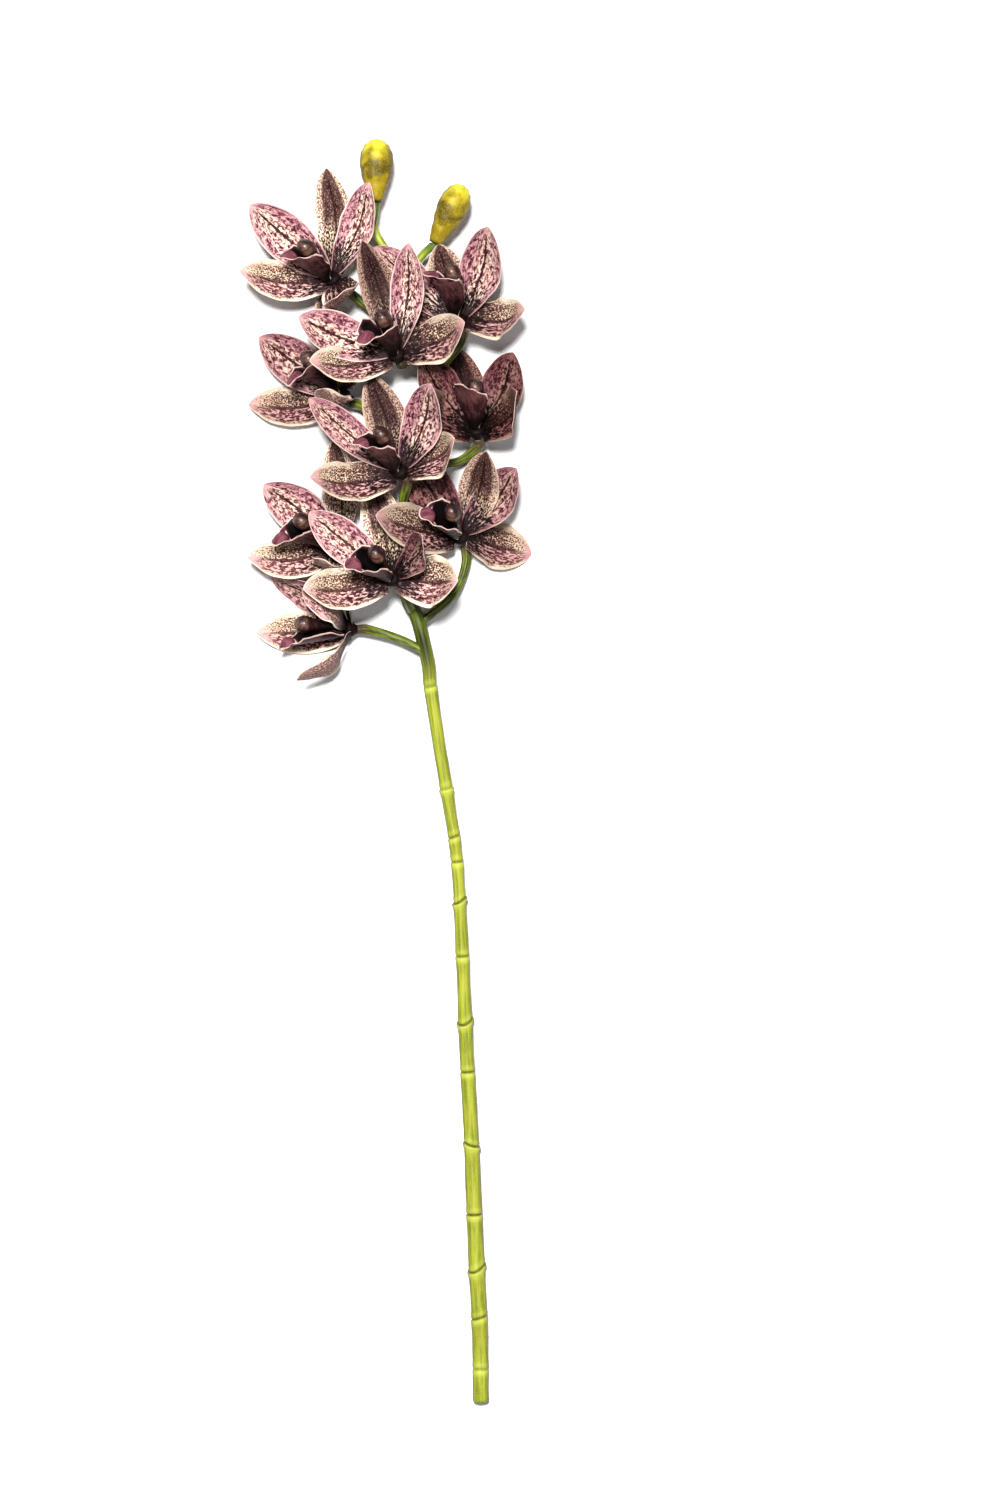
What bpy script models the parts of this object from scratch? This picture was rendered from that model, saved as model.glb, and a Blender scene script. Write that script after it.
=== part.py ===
"""A cut cymbidium orchid stem that lies on its back: ten open blooms and two buds.

Sizes are millimetres until a mesh is made, and metres in the mesh. +Y runs along the stem from
the cut end to the buds, +X is to the right of it, and +Z points up from the table.
"""
import math
from collections import namedtuple

import bpy
from mathutils import Vector

MM = 0.001

# Clear space between pieces of different colours.
GAP = 0.3

# Edges sharper than this stay sharp in the shading.
SHARP_ANGLE = math.radians(40)

# How far a rod runs straight where it meets a boss, so that both ends face each other.
SEAT = 1.2

# The middle of the whole part on the table, measured from the cut end of the stem.
PLAN_CENTRE = Vector((-56.385, 380.98, 0.0))

# Thickness of a sepal or petal, and of the wall of a lip.
BLADE = 0.9
LIP_WALL = 1.0

# The small boss at the middle of a bloom, and how far from its axis the five blades start.
HUB_RADIUS = 5.2
HUB_BACK = 5.5
HUB_FRONT = 1.6
BLADE_ROOT = 4.0

# How much more a blade faces up than its bloom does.
SPREAD_OPEN = 0.9

# How far a blade ends from the middle of its bloom, with its width and bow as shares of its form's
# and how much more it faces up than the bloom.
Blade = namedtuple("Blade", "x y z width bow open", defaults=(1.0, 1.0, SPREAD_OPEN))

# Width, backward bow, cupping, wave, place along the boss and foot width of each kind of blade.
DORSAL_FORM = {"width": 25.5, "bow": 5.0, "cup": 0.16, "wave": 0.9, "root": -2.2, "foot": 0.1}
PETAL_FORM = {"width": 28.0, "bow": 5.5, "cup": 0.22, "wave": 1.2, "root": 0.9, "foot": 0.06}
LATERAL_FORM = {"width": 29.0, "bow": 6.5, "cup": 0.20, "wave": 1.6, "root": -1.8, "foot": 0.15}
BLADE_FORMS = {
    "dorsal": DORSAL_FORM,
    "petal_left": PETAL_FORM,
    "petal_right": PETAL_FORM,
    "sepal_left": LATERAL_FORM,
    "sepal_right": LATERAL_FORM,
}

# A bloom faces between its column and its lip; the rest of the share is the lip's.
COLUMN_SHARE = 0.7

# Half of a blade's least width as a share of its greatest, and where along it the widest place is.
BLADE_TIP = 0.06
BLADE_WIDEST = 0.54

# How fast a blade widens from its foot and narrows to its tip; lower powers make it fuller.
FOOT_POWER = 0.85
TIP_POWER = 0.70

# Ripples along a blade's edge: how many, and where they start on the right and left edge.
RIPPLES = 1.6
RIGHT_RIPPLE = 0.6
LEFT_RIPPLE = 2.4

# The ripples end, and the cupping is full, where a blade's length times these reaches 1.
WAVE_PACE = 1.1
CUP_PACE = 4.0

# How much of a blade's backward bow goes outward, and how round the bow is.
BOW_OUTWARD = 0.3
BOW_POWER = 1.6

# The lip: radius of its trough and how far round the column it wraps, along its length, and how far
# along it reaches at each share of the wrap: all the way at its end lobe, less at its rim.
LIP_RADII = [(0.0, 3.8), (0.25, 7.0), (0.5, 9.3), (0.68, 10.4), (1.0, 9.8)]
LIP_WRAPS = [(0.0, 75), (0.2, 112), (0.45, 102), (0.68, 88)]
LIP_REACH = [(0.0, 1.0), (0.2, 0.98), (0.45, 0.84), (1.0, 0.64)]
LIP_DROP = 3.8
LIP_LIFT = 0.65
LIP_FLARE = 0.14

# How far the trough lies from the column's end, and how much it may rise to come that near.
LIP_OPENING = 13.0
LIP_LEAST_ARCH = 0.0
LIP_MOST_ARCH = 9.0

# Where the lip's end lobe starts, how far its end curls down and how far its middle bulges up.
LIP_LOBE = 0.72
LIP_CURL = 2.0
LIP_BULGE = 2.2
LIP_BULGE_HALF = 0.36

# How close the rows of points lie at the lip's middle; 1 would space them evenly.
LIP_MIDDLE = 0.62

# The column: radius along its length, with the anther cap at the end, and its arch.
COLUMN_RADII = [(0.0, 2.0), (0.25, 2.0), (0.5, 2.3), (0.7, 3.4), (0.8, 4.8), (0.9, 5.5), (1.0, 5.1),
                (1.09, 3.6), (1.15, 1.4)]
COLUMN_ARCH = 2.0

# The boss: place along the way the bloom faces, and radius.
HUB_RADII = [(-HUB_BACK, 2.8), (-3.0, 4.6), (0.0, HUB_RADIUS), (HUB_FRONT, 4.16)]

# A bud's radius along its length as a share of its largest radius.
BUD_SHARES = [(0.0, 0.38), (0.08, 0.50), (0.25, 0.68), (0.42, 0.88), (0.6, 1.0), (0.75, 0.97),
              (0.88, 0.78), (0.96, 0.48), (1.0, 0.14)]

BLADE_ROWS = 7
BLADE_COLUMNS = 4
LIP_ROWS = 6
LIP_COLUMNS = 8
HUB_SIDES = 8
COLUMN_SIDES = 7
PEDICEL_SIDES = 7
STEM_SIDES = 12
BUD_SIDES = 12

# Each bloom: where its middle lies, then where the column, the lip and the blades end from there.
# The lips of two blooms wrap less far round their columns than the others.
BLOOMS = {
    "bloom_01": {
        "base": (-89, 678, 24), "column": (-16, 17, 20), "lip": (-29, 11, 28),
        "dorsal": Blade(-3, 65, 8), "petal_left": Blade(-49, 43, 8),
        "petal_right": Blade(23, 55, 20, 0.86),
        "sepal_left": Blade(-55, 3, 12, 0.9), "sepal_right": Blade(4, -15, 36, 0.92),
    },
    "bloom_02": {
        "base": (-50, 631, 42), "column": (-8, 20, 22), "lip": (-21, 4, 36),
        "dorsal": Blade(-20, 67, 4, 0.85), "petal_left": Blade(-58, 21, 10),
        "petal_right": Blade(8, 64, 22, 0.75),
        "sepal_left": Blade(-51, -6, 20, 0.86), "sepal_right": Blade(41, 17, 22, 1.0),
    },
    "bloom_03": {
        "base": (-13, 653, 27), "column": (-4, 28, 13), "lip": (-20, 26, 24),
        "dorsal": Blade(-12, 45, 0), "petal_left": Blade(-50, 43, 4, 0.9, 0.3),
        "petal_right": Blade(18, 54, 14),
        "sepal_left": Blade(-31, 12, 12), "sepal_right": Blade(40, 4, 16),
    },
    "bloom_04": {
        "base": (-84, 609, 13), "column": (-20, 21, 12), "lip": (-31, 5, 26),
        "dorsal": Blade(-12, 60, -2), "petal_left": Blade(-49, 34, 6),
        "petal_right": Blade(15, 34, 10, 0.8),
        "sepal_left": Blade(-56, -6, -7, 0.96), "sepal_right": Blade(-12, 1, 26, 0.84),
    },
    "bloom_05": {
        "base": (-48, 561, 44), "column": (-11, 21, 20), "lip": (-26, 16, 28),
        "dorsal": Blade(-18, 58, -8), "petal_left": Blade(-54, 43, 4, 0.72),
        "petal_right": Blade(19, 50, 26),
        "sepal_left": Blade(-53, -5, 16, 0.95), "sepal_right": Blade(33, 18, 24, 0.92),
    },
    "bloom_06": {
        "base": (-2, 587, 18), "column": (-1, 26, 12), "lip": (-10, 27, 28), "wrap": 0.85,
        "dorsal": Blade(-13, 50, -6), "petal_left": Blade(-34, 42, 18, 1.0, 0.5),
        "petal_right": Blade(22, 46, 8),
        "sepal_left": Blade(-28, 21, 26, 0.9), "sepal_right": Blade(24, 21, 30),
    },
    "bloom_07": {
        "base": (-87, 517, 16), "column": (-21, 15, 17), "lip": (-38, 2, 18),
        "dorsal": Blade(-1, 64, 0), "petal_left": Blade(-43, 37, 8),
        "petal_right": Blade(14, 0, 14, 0.7, 0.5),
        "sepal_left": Blade(-53, -7, 4, 0.92), "sepal_right": Blade(-12, -8, 19, 0.8),
    },
    "bloom_08": {
        "base": (-12, 523, 17), "column": (-5, 14, 26), "lip": (-23, 13, 33),
        "dorsal": Blade(16, 50, 18), "petal_left": Blade(-31, 48, 14, 1.0, 0.4),
        "petal_right": Blade(34, 40, 16),
        "sepal_left": Blade(-50, 11, 34, 1.0, 0.4), "sepal_right": Blade(43, -10, -18),
    },
    "bloom_09": {
        "base": (-53, 497, 40), "column": (-9, 14, 25), "lip": (-26, 7, 32),
        "dorsal": Blade(-12, 60, -18, 1.0, 0.6), "petal_left": Blade(-49, 39, 6, 0.88),
        "petal_right": Blade(19, 24, 42, 0.75),
        "sepal_left": Blade(-52, -7, 18, 0.95), "sepal_right": Blade(40, -2, 20, 1.1),
    },
    "bloom_10": {
        "base": (-80, 467, 12.5), "column": (-28, 3, 8), "lip": (-42, -11, 8), "wrap": 0.7,
        "dorsal": Blade(-13, 26, 8, 0.8, open=0.0), "petal_left": Blade(-46, 32, -10, 0.84, 0.6, 0.1),
        "petal_right": Blade(-26, 22, 36, 0.88, open=-0.3),
        "sepal_left": Blade(-55, -2, -7.5, 0.9, open=0.1),
        "sepal_right": Blade(-30, -31, 19, 0.68, open=-0.25),
    },
}

# The stem's middle line from the cut end up, with its radius at each point.
STEM_LINE = [
    ((0.4, 0.0, 5.2), 5.0), ((0.3, 8.0, 5.3), 4.8), ((0.1, 27.0, 5.6), 4.8), ((-0.4, 48.6, 5.9), 4.9),
    ((-2.4, 87.0, 6.5), 4.9), ((-4.2, 129.6, 7.2), 4.8), ((-5.4, 159.6, 7.6), 4.5),
    ((-8.3, 213.0, 8.4), 4.4), ((-10.8, 270.6, 9.2), 4.0), ((-14.0, 327.0, 10.0), 3.6),
    ((-19.4, 365.0, 10.6), 3.8), ((-25.0, 399.0, 11.2), 3.9), ((-30.0, 432.6, 11.8), 3.9),
    ((-31.6, 448.0, 12.0), 4.3), ((-38.0, 474.0, 12.5), 4.2), ((-43.8, 486.0, 12.8), 4.0),
    ((-45.0, 515.0, 13.5), 3.6), ((-42.0, 556.0, 15.0), 3.3), ((-35.0, 586.0, 16.0), 3.1),
    ((-29.5, 616.0, 16.5), 2.9), ((-32.5, 646.0, 17.0), 2.8), ((-40.0, 673.0, 17.0), 2.7),
    ((-45.0, 687.0, 17.0), 2.5),
]

# The cut end's rounded edge: distance from the end and change of radius.
CUT_EDGE = [(0.0, -0.5), (0.8, 0.2), (8.0, 0.0)]

# How far from a joint its collar starts and is highest, the groove lies and the swelling above ends.
# The collar's start has only a share of its slant.
COLLAR_START = -5.0
SWELL_END = 4.0
GROOVE_PLACE = 0.4
COLLAR_PLACE = -1.1
SWELL = 0.15
GROOVE_DEPTH = 0.25
START_SLANT = 0.3

# Places above the last joint where the stem's line is followed.
RACHIS_START = 15.0
RACHIS_STEP = 11.0

# Joints of the stem: distance from the cut end, how far the collar stands out, and its slant.
JOINTS = [
    (20.0, 0.3, 0.0), (51.5, 0.4, 1.2), (82.0, 0.9, 2.2), (114.0, 0.4, 0.0), (156.5, 1.0, -1.6),
    (200.0, 0.4, 0.0), (231.5, 1.0, 1.4), (270.0, 0.4, 0.0), (304.0, 1.3, 2.0), (327.0, 0.3, 0.0),
    (342.0, 0.3, 0.0), (371.5, 0.9, 0.6), (433.0, 0.6, 0.0),
]

# Flower stalks: points between the stem and the back of each bloom.
PEDICELS = {
    "bloom_01": [(-36, 652, 18), (-60, 657, 16), (-76, 668, 14)],
    "bloom_02": [(-33, 642, 18), (-38, 634, 24)],
    "bloom_03": [(-29.5, 616, 16.5), (-21, 627, 20), (-13, 637, 20)],
    "bloom_04": [(-36, 584, 16), (-57, 593, 14), (-72, 602, 13)],
    "bloom_05": [(-44.5, 522, 14), (-47.5, 533, 20), (-46, 545, 29)],
    "bloom_06": [(-41, 562, 15), (-26, 566, 13), (-12, 569, 10)],
    "bloom_07": [(-44, 492, 13), (-62, 503, 12), (-74, 511, 12)],
    "bloom_08": [(-37, 470, 12), (-17, 487, 10), (-9, 505, 7)],
    "bloom_09": [(-41, 478, 13), (-43, 482, 22)],
    "bloom_10": [(-32, 453, 12), (-48, 461, 13), (-60, 465, 13)],
}
PEDICEL_RADIUS = 2.6

# The stalk widens under the boss, and its last part points at it.
RECEPTACLE_RADIUS = 3.2
PEDICEL_AIM = 5.0
PEDICEL_RADII = [(0.0, PEDICEL_RADIUS), (0.7, PEDICEL_RADIUS), (0.9, RECEPTACLE_RADIUS), (1.0, 2.7)]

# Bud stalks and buds: the stalk's points, then the base and tip of the bud and its largest radius.
BUDS = {
    "bud_01": {
        "stalk": [(-45, 686, 17), (-52, 691, 18), (-59, 699, 20), (-64, 709, 21), (-63.6, 716, 22)],
        "base": (-63, 724, 22), "tip": (-62, 762, 22), "radius": 10.3,
    },
    "bud_02": {
        "stalk": [(-42, 680, 17), (-38, 688, 19), (-33, 694, 21)],
        "base": (-27.5, 699, 22.5), "tip": (-10, 734, 24), "radius": 9.6,
    },
}
STALK_RADIUS = 2.4
STALK_END_RADIUS = 3.0
BUD_GAP = 0.45


def make_material(name, colour, roughness):
    material = bpy.data.materials.new(name)
    material.use_nodes = True
    shader = material.node_tree.nodes["Principled BSDF"]
    shader.inputs["Base Color"].default_value = (*colour, 1.0)
    shader.inputs["Roughness"].default_value = roughness
    shader.inputs["Metallic"].default_value = 0.0
    return material


def shade_round(mesh):
    mesh.shade_smooth()
    mesh.set_sharp_from_angle(angle=SHARP_ANGLE)


def make_object(name, vertices, faces, material):
    """A mesh object from points in millimetres on the plan, moved to the part's own origin."""
    mesh = bpy.data.meshes.new(name)
    mesh.from_pydata([(Vector(point) - PLAN_CENTRE) * MM for point in vertices], [], faces)
    mesh.materials.append(material)
    shade_round(mesh)
    result = bpy.data.objects.new(name, mesh)
    bpy.context.scene.collection.objects.link(result)
    return result


def smooth_path(points, steps):
    """Points on a smooth curve that runs through the given points."""
    points = [Vector(point) for point in points]
    ends = [points[0] * 2 - points[1]] + points + [points[-1] * 2 - points[-2]]
    curve = []
    for index in range(1, len(ends) - 2):
        before, start, end, after = ends[index - 1:index + 3]
        for step in range(steps):
            t = step / steps
            curve.append(0.5 * (2 * start + (end - before) * t
                                + (2 * before - 5 * start + 4 * end - after) * t ** 2
                                + (3 * start - before - 3 * end + after) * t ** 3))
    curve.append(points[-1])
    return curve


def ease(value, table):
    """A value read from a short table of (place, value) pairs, eased between them."""
    if value <= table[0][0]:
        return table[0][1]
    for (low, first), (high, second) in zip(table, table[1:]):
        if value <= high:
            t = (value - low) / (high - low)
            t = t * t * (3 - 2 * t)
            return first + (second - first) * t
    return table[-1][1]


def tube(path, radii, sides, slants=None):
    """Vertices and faces of a round rod with a radius of its own at each point of its path."""
    vertices = []
    faces = []
    count = len(path)
    side = None
    for index, centre in enumerate(path):
        along = (path[min(index + 1, count - 1)] - path[max(index - 1, 0)]).normalized()
        if side is None:
            side = along.cross(Vector((0, 0, 1)))
            if side.length < 0.1:
                side = along.cross(Vector((1, 0, 0)))
        side = (side - along * side.dot(along)).normalized()
        up = side.cross(along)
        slant = slants[index] if slants else 0.0
        for corner in range(sides):
            angle = math.tau * corner / sides
            out = side * math.sin(angle) - up * math.cos(angle)
            vertices.append(centre + out * radii[index] + along * slant * math.sin(angle))
    for index in range(count - 1):
        for corner in range(sides):
            low = index * sides + corner
            low_next = index * sides + (corner + 1) % sides
            faces.append((low, low + sides, low_next + sides, low_next))
    faces.append(tuple(range(sides)))
    faces.append(tuple(reversed(range((count - 1) * sides, count * sides))))
    return vertices, faces


def shell(rows, columns, surface, thickness):
    """A closed blade: surface(row, column) gives a point and a normal for values from 0 to 1."""
    front = []
    back = []
    for row in range(rows + 1):
        for column in range(columns + 1):
            point, normal = surface(row / rows, column / columns)
            high = point + normal * thickness / 2
            low = point - normal * thickness / 2
            if low.z < 0.0 or high.z < thickness:
                low.z = max(low.z, 0.0)
                high.z = max(high.z, low.z + thickness)
            front.append(high)
            back.append(low)
    width = columns + 1
    offset = len(front)
    faces = []
    for row in range(rows):
        for column in range(columns):
            a = row * width + column
            b, c, d = a + 1, a + width + 1, a + width
            faces.append((a, b, c))
            faces.append((a, c, d))
            faces.append((a + offset, c + offset, b + offset))
            faces.append((a + offset, d + offset, c + offset))
    edge = list(range(width))
    edge += [row * width + columns for row in range(1, rows + 1)]
    edge += [rows * width + column for column in range(columns - 1, -1, -1)]
    edge += [row * width for row in range(rows - 1, 0, -1)]
    for first, second in zip(edge, edge[1:] + edge[:1]):
        faces.append((second, first, first + offset, second + offset))
    return front + back, faces


def bloom_frame(bloom):
    """The way a bloom faces, and the side on which its dorsal sepal stands."""
    column = Vector(bloom["column"])
    lip = Vector(bloom["lip"])
    facing = column.normalized().lerp(lip.normalized(), 1.0 - COLUMN_SHARE).normalized()
    up = (column - facing * column.dot(facing)).normalized()
    return facing, up


def blade_outline(t, foot):
    """Half width of a blade along its length as a share of its greatest half width."""
    spread = ((t + foot) / (BLADE_WIDEST + foot)) ** FOOT_POWER
    close = ((1.0 - t) / (1.0 - BLADE_WIDEST)) ** TIP_POWER
    return max(spread * close, BLADE_TIP)


def blade_surface(bloom, kind, t, across):
    """A point and normal of a sepal or petal, t along it and across from 0 to 1."""
    form = BLADE_FORMS[kind]
    facing = bloom_frame(bloom)[0]
    open_side = (facing + Vector((0, 0, bloom[kind].open))).normalized()
    base = Vector(bloom["base"])
    blade = bloom[kind]
    reach = Vector((blade.x, blade.y, blade.z))
    chord = reach.normalized()
    normal = (open_side - chord * open_side.dot(chord)).normalized()
    outward = (chord - facing * chord.dot(facing)).normalized()
    root = base + outward * BLADE_ROOT + facing * form["root"]
    tip = base + reach
    bow = form["bow"] * blade.bow
    swing = outward * bow * BOW_OUTWARD - normal * bow
    arch = math.sin(math.pi * t)
    spine = root.lerp(tip, t) + swing * arch ** BOW_POWER
    turn = BOW_POWER * math.pi * arch ** (BOW_POWER - 1.0) * math.cos(math.pi * t)
    along = (tip - root + swing * turn).normalized()
    normal = (normal - along * normal.dot(along)).normalized()
    side = along.cross(normal)
    s = across * 2 - 1
    half = form["width"] / 2 * blade.width * blade_outline(t, form["foot"])
    phase = t * math.tau * RIPPLES + (RIGHT_RIPPLE if s > 0 else LEFT_RIPPLE)
    wave = form["wave"] * math.sin(phase) * abs(s) ** 3 * math.sin(math.pi * min(t * WAVE_PACE, 1.0))
    cup = form["cup"] * min(t * CUP_PACE, 1.0)
    lift = cup * half * s * s
    slope = 2 * cup * s
    point = spine + side * half * s + normal * (lift + wave)
    return point, (normal - side * slope).normalized()


def lip_surface(bloom, row, across):
    """A point and normal of the lip: a cup round the column, with a rounded lobe at its low side."""
    facing, up = bloom_frame(bloom)
    base = Vector(bloom["base"])
    reach = Vector(bloom["lip"])
    column = Vector(bloom["column"])
    along = reach.normalized()
    rise = (column - along * column.dot(along)).normalized()
    side = along.cross(rise)
    root = base + facing * (HUB_FRONT + LIP_LIFT) - up * LIP_DROP
    w = across * 2 - 1
    v = w * (LIP_MIDDLE + (1.0 - LIP_MIDDLE) * w * w)
    t = row * ease(abs(v), LIP_REACH)
    radius = ease(t, LIP_RADII)
    wrap = math.radians(ease(t, LIP_WRAPS)) * bloom.get("wrap", 1.0)
    curl = max(t - LIP_LOBE, 0.0) / (1.0 - LIP_LOBE)
    line = base + reach - root
    reached = column - (root - base)
    away = (reached - line * (reached.dot(line) / line.length_squared)).length
    arch = min(max(away - LIP_OPENING, LIP_LEAST_ARCH), LIP_MOST_ARCH)
    keel = root + line * t + rise * (arch * math.sin(math.pi * t) - LIP_CURL * curl * curl)
    keel += rise * LIP_BULGE * math.sin(math.pi * curl) * max(1.0 - (v / LIP_BULGE_HALF) ** 2, 0.0)
    angle = v * wrap
    flare = 1.0 + LIP_FLARE * abs(v) ** 3 * min(t * 2, 1.0)
    inward = rise * math.cos(angle) - side * math.sin(angle)
    point = keel + rise * radius - inward * radius * flare
    return point, inward


def column_rod(bloom):
    """The column: an arching rod that ends in the rounded anther cap."""
    facing, up = bloom_frame(bloom)
    base = Vector(bloom["base"])
    tip = base + Vector(bloom["column"])
    root = base + facing * (HUB_FRONT + GAP)
    middle = (root + tip) / 2 + up * COLUMN_ARCH
    path = [root, root + facing * SEAT]
    radii = [COLUMN_RADII[0][1]] * 2
    for t, radius in COLUMN_RADII[1:]:
        path.append(root * (1 - t) ** 2 + middle * 2 * t * (1 - t) + tip * t ** 2)
        radii.append(radius)
    return tube(path, radii, COLUMN_SIDES)


def hub_rod(bloom):
    """The boss that joins the five blades."""
    facing = bloom_frame(bloom)[0]
    base = Vector(bloom["base"])
    path = [base + facing * place for place, _ in HUB_RADII]
    return tube(path, [radius for _, radius in HUB_RADII], HUB_SIDES)


def pedicel_rod(name):
    """The stalk that carries a bloom: it leaves the stem's middle and widens under the boss."""
    bloom = BLOOMS[name]
    facing = bloom_frame(bloom)[0]
    base = Vector(bloom["base"])
    end = base - facing * (HUB_BACK + GAP)
    points = PEDICELS[name] + [end - facing * PEDICEL_AIM, end - facing * SEAT]
    path = smooth_path(points, 2) + [end]
    count = len(path) - 1
    radii = []
    for index in range(count + 1):
        share = index / count
        radii.append(ease(share, PEDICEL_RADII))
    return tube(path, radii, PEDICEL_SIDES)


def stem_radius(distance):
    """Radius of the stem between its joints."""
    return ease(distance, [(point[1], radius) for point, radius in STEM_LINE])


def stem_rod():
    """The main stem, with a groove and a slanted collar at each joint."""
    line = [Vector(point) for point, _ in STEM_LINE]
    curve = smooth_path(line, 12)
    stations = [(place, change, 0.0) for place, change in CUT_EDGE]
    for place, collar, slant in JOINTS:
        stations.append((place + COLLAR_START, SWELL, slant * START_SLANT))
        stations.append((place + COLLAR_PLACE, collar, slant))
        stations.append((place + GROOVE_PLACE, -GROOVE_DEPTH, slant))
        stations.append((place + SWELL_END, SWELL, 0.0))
    top = line[-1].y
    place = JOINTS[-1][0] + RACHIS_START
    while place < top:
        stations.append((place, 0.0, 0.0))
        place += RACHIS_STEP
    stations.append((top, 0.0, 0.0))
    path = []
    radii = []
    slants = []
    for place, extra, slant in sorted(stations):
        path.append(point_at(curve, place))
        radii.append(stem_radius(place) + extra)
        slants.append(slant)
    return tube(path, radii, STEM_SIDES, slants)


def point_at(curve, place):
    """The point of a curve that lies the given distance from the cut end along Y."""
    for start, end in zip(curve, curve[1:]):
        if start.y <= place <= end.y and end.y > start.y:
            return start.lerp(end, (place - start.y) / (end.y - start.y))
    return curve[-1].copy()


def bud_rod(bud):
    """A closed bud: an egg with a narrow foot and a rounded point."""
    base = Vector(bud["base"])
    tip = Vector(bud["tip"])
    path = [base.lerp(tip, t) for t, _ in BUD_SHARES]
    return tube(path, [share * bud["radius"] for _, share in BUD_SHARES], BUD_SIDES)


def stalk_rod(bud):
    """The stalk of a bud, a little wider where it meets the bud."""
    base = Vector(bud["base"])
    tip = Vector(bud["tip"])
    along = (tip - base).normalized()
    end = base - along * BUD_GAP
    path = smooth_path(bud["stalk"] + [end - along * SEAT], 2) + [end]
    return tube(path, [STALK_RADIUS] * (len(path) - 1) + [STALK_END_RADIUS], PEDICEL_SIDES)


def join(name, pieces, material):
    """One solid from several that cross each other."""
    group = bpy.data.collections.new(name + "_pieces")
    bpy.context.scene.collection.children.link(group)
    first = make_object(name, *pieces[0], material)
    for number, piece in enumerate(pieces[1:]):
        other = make_object(name + "_piece_" + str(number), *piece, material)
        bpy.context.scene.collection.objects.unlink(other)
        group.objects.link(other)
    union = first.modifiers.new("union", "BOOLEAN")
    union.operation = "UNION"
    union.operand_type = "COLLECTION"
    union.collection = group
    bpy.context.view_layer.update()
    evaluated = first.evaluated_get(bpy.context.evaluated_depsgraph_get())
    merged = bpy.data.meshes.new_from_object(evaluated)
    first.modifiers.clear()
    first.data = merged
    shade_round(merged)
    for other in list(group.objects):
        bpy.data.objects.remove(other, do_unlink=True)
    bpy.data.collections.remove(group)
    return first


def main():
    for old in list(bpy.data.objects):
        bpy.data.objects.remove(old, do_unlink=True)
    green = make_material("stem_green", (0.42, 0.50, 0.10), 0.45)
    mauve = make_material("tepal_mauve", (0.55, 0.30, 0.30), 0.55)
    maroon = make_material("lip_maroon", (0.10, 0.03, 0.04), 0.35)
    glossy = make_material("column_maroon", (0.09, 0.03, 0.03), 0.2)
    yellow = make_material("bud_yellow", (0.62, 0.50, 0.05), 0.45)
    stem_pieces = [stem_rod()]
    stem_pieces += [pedicel_rod(name) for name in BLOOMS]
    stem_pieces += [stalk_rod(bud) for bud in BUDS.values()]
    join("stem", stem_pieces, green)
    for name, bloom in BLOOMS.items():
        blades = [hub_rod(bloom)]
        for kind in BLADE_FORMS:
            blades.append(shell(BLADE_ROWS, BLADE_COLUMNS,
                                lambda t, s: blade_surface(bloom, kind, t, s), BLADE))
        join(name + "_tepals", blades, mauve)
        make_object(name + "_lip", *shell(LIP_ROWS, LIP_COLUMNS,
                                          lambda t, s: lip_surface(bloom, t, s), LIP_WALL), maroon)
        make_object(name + "_column", *column_rod(bloom), glossy)
    for name, bud in BUDS.items():
        make_object(name, *bud_rod(bud), yellow)


main()
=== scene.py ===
"""Looks of a cut cymbidium orchid stem that lies on its back.

Sizes are millimetres until a mesh is made, measured on the plan from the cut end of the stem, as
the solids are. +Y runs along the stem to the buds, +X is to its right, +Z points up.
"""
import math
from collections import namedtuple

import bpy
import numpy as np
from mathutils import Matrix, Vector

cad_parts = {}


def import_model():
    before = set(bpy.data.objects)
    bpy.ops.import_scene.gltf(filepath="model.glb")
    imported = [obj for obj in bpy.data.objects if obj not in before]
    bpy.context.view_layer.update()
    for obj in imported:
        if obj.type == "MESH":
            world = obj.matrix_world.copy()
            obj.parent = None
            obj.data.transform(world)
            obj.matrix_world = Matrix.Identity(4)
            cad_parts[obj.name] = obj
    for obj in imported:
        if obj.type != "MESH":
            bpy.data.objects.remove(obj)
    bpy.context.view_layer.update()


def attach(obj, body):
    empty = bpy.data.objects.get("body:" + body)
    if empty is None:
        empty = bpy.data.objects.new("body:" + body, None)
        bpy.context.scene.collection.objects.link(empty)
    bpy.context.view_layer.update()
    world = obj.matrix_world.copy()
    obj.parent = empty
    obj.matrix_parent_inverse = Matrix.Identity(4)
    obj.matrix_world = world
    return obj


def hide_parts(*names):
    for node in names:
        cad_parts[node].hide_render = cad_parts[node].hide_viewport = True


MM = 0.001
PLAN_CENTRE = np.array((-56.385, 380.98, 0.0))
UP = np.array((0.0, 0.0, 1.0))
SPREAD_OPEN = 0.9

Blade = namedtuple("Blade", "x y z width bow open", defaults=(1.0, 1.0, SPREAD_OPEN))

# Width, backward bow, cupping, wave, place along the boss and foot width of each kind of blade.
DORSAL_FORM = {"width": 25.5, "bow": 5.0, "cup": 0.16, "wave": 0.9, "root": -2.2, "foot": 0.1}
PETAL_FORM = {"width": 28.0, "bow": 5.5, "cup": 0.22, "wave": 1.2, "root": 0.9, "foot": 0.06}
LATERAL_FORM = {"width": 29.0, "bow": 6.5, "cup": 0.20, "wave": 1.6, "root": -1.8, "foot": 0.15}
BLADE_FORMS = {
    "dorsal": DORSAL_FORM,
    "petal_left": PETAL_FORM,
    "petal_right": PETAL_FORM,
    "sepal_left": LATERAL_FORM,
    "sepal_right": LATERAL_FORM,
}
HUB_RADIUS = 5.2
HUB_BACK = 5.5
HUB_FRONT = 1.6
BLADE_ROOT = 4.0
COLUMN_SHARE = 0.7
BLADE_TIP = 0.03
BLADE_WIDEST = 0.54
WIDENING = 0.85
NARROWING = 0.70
RIPPLES = 1.6
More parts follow.
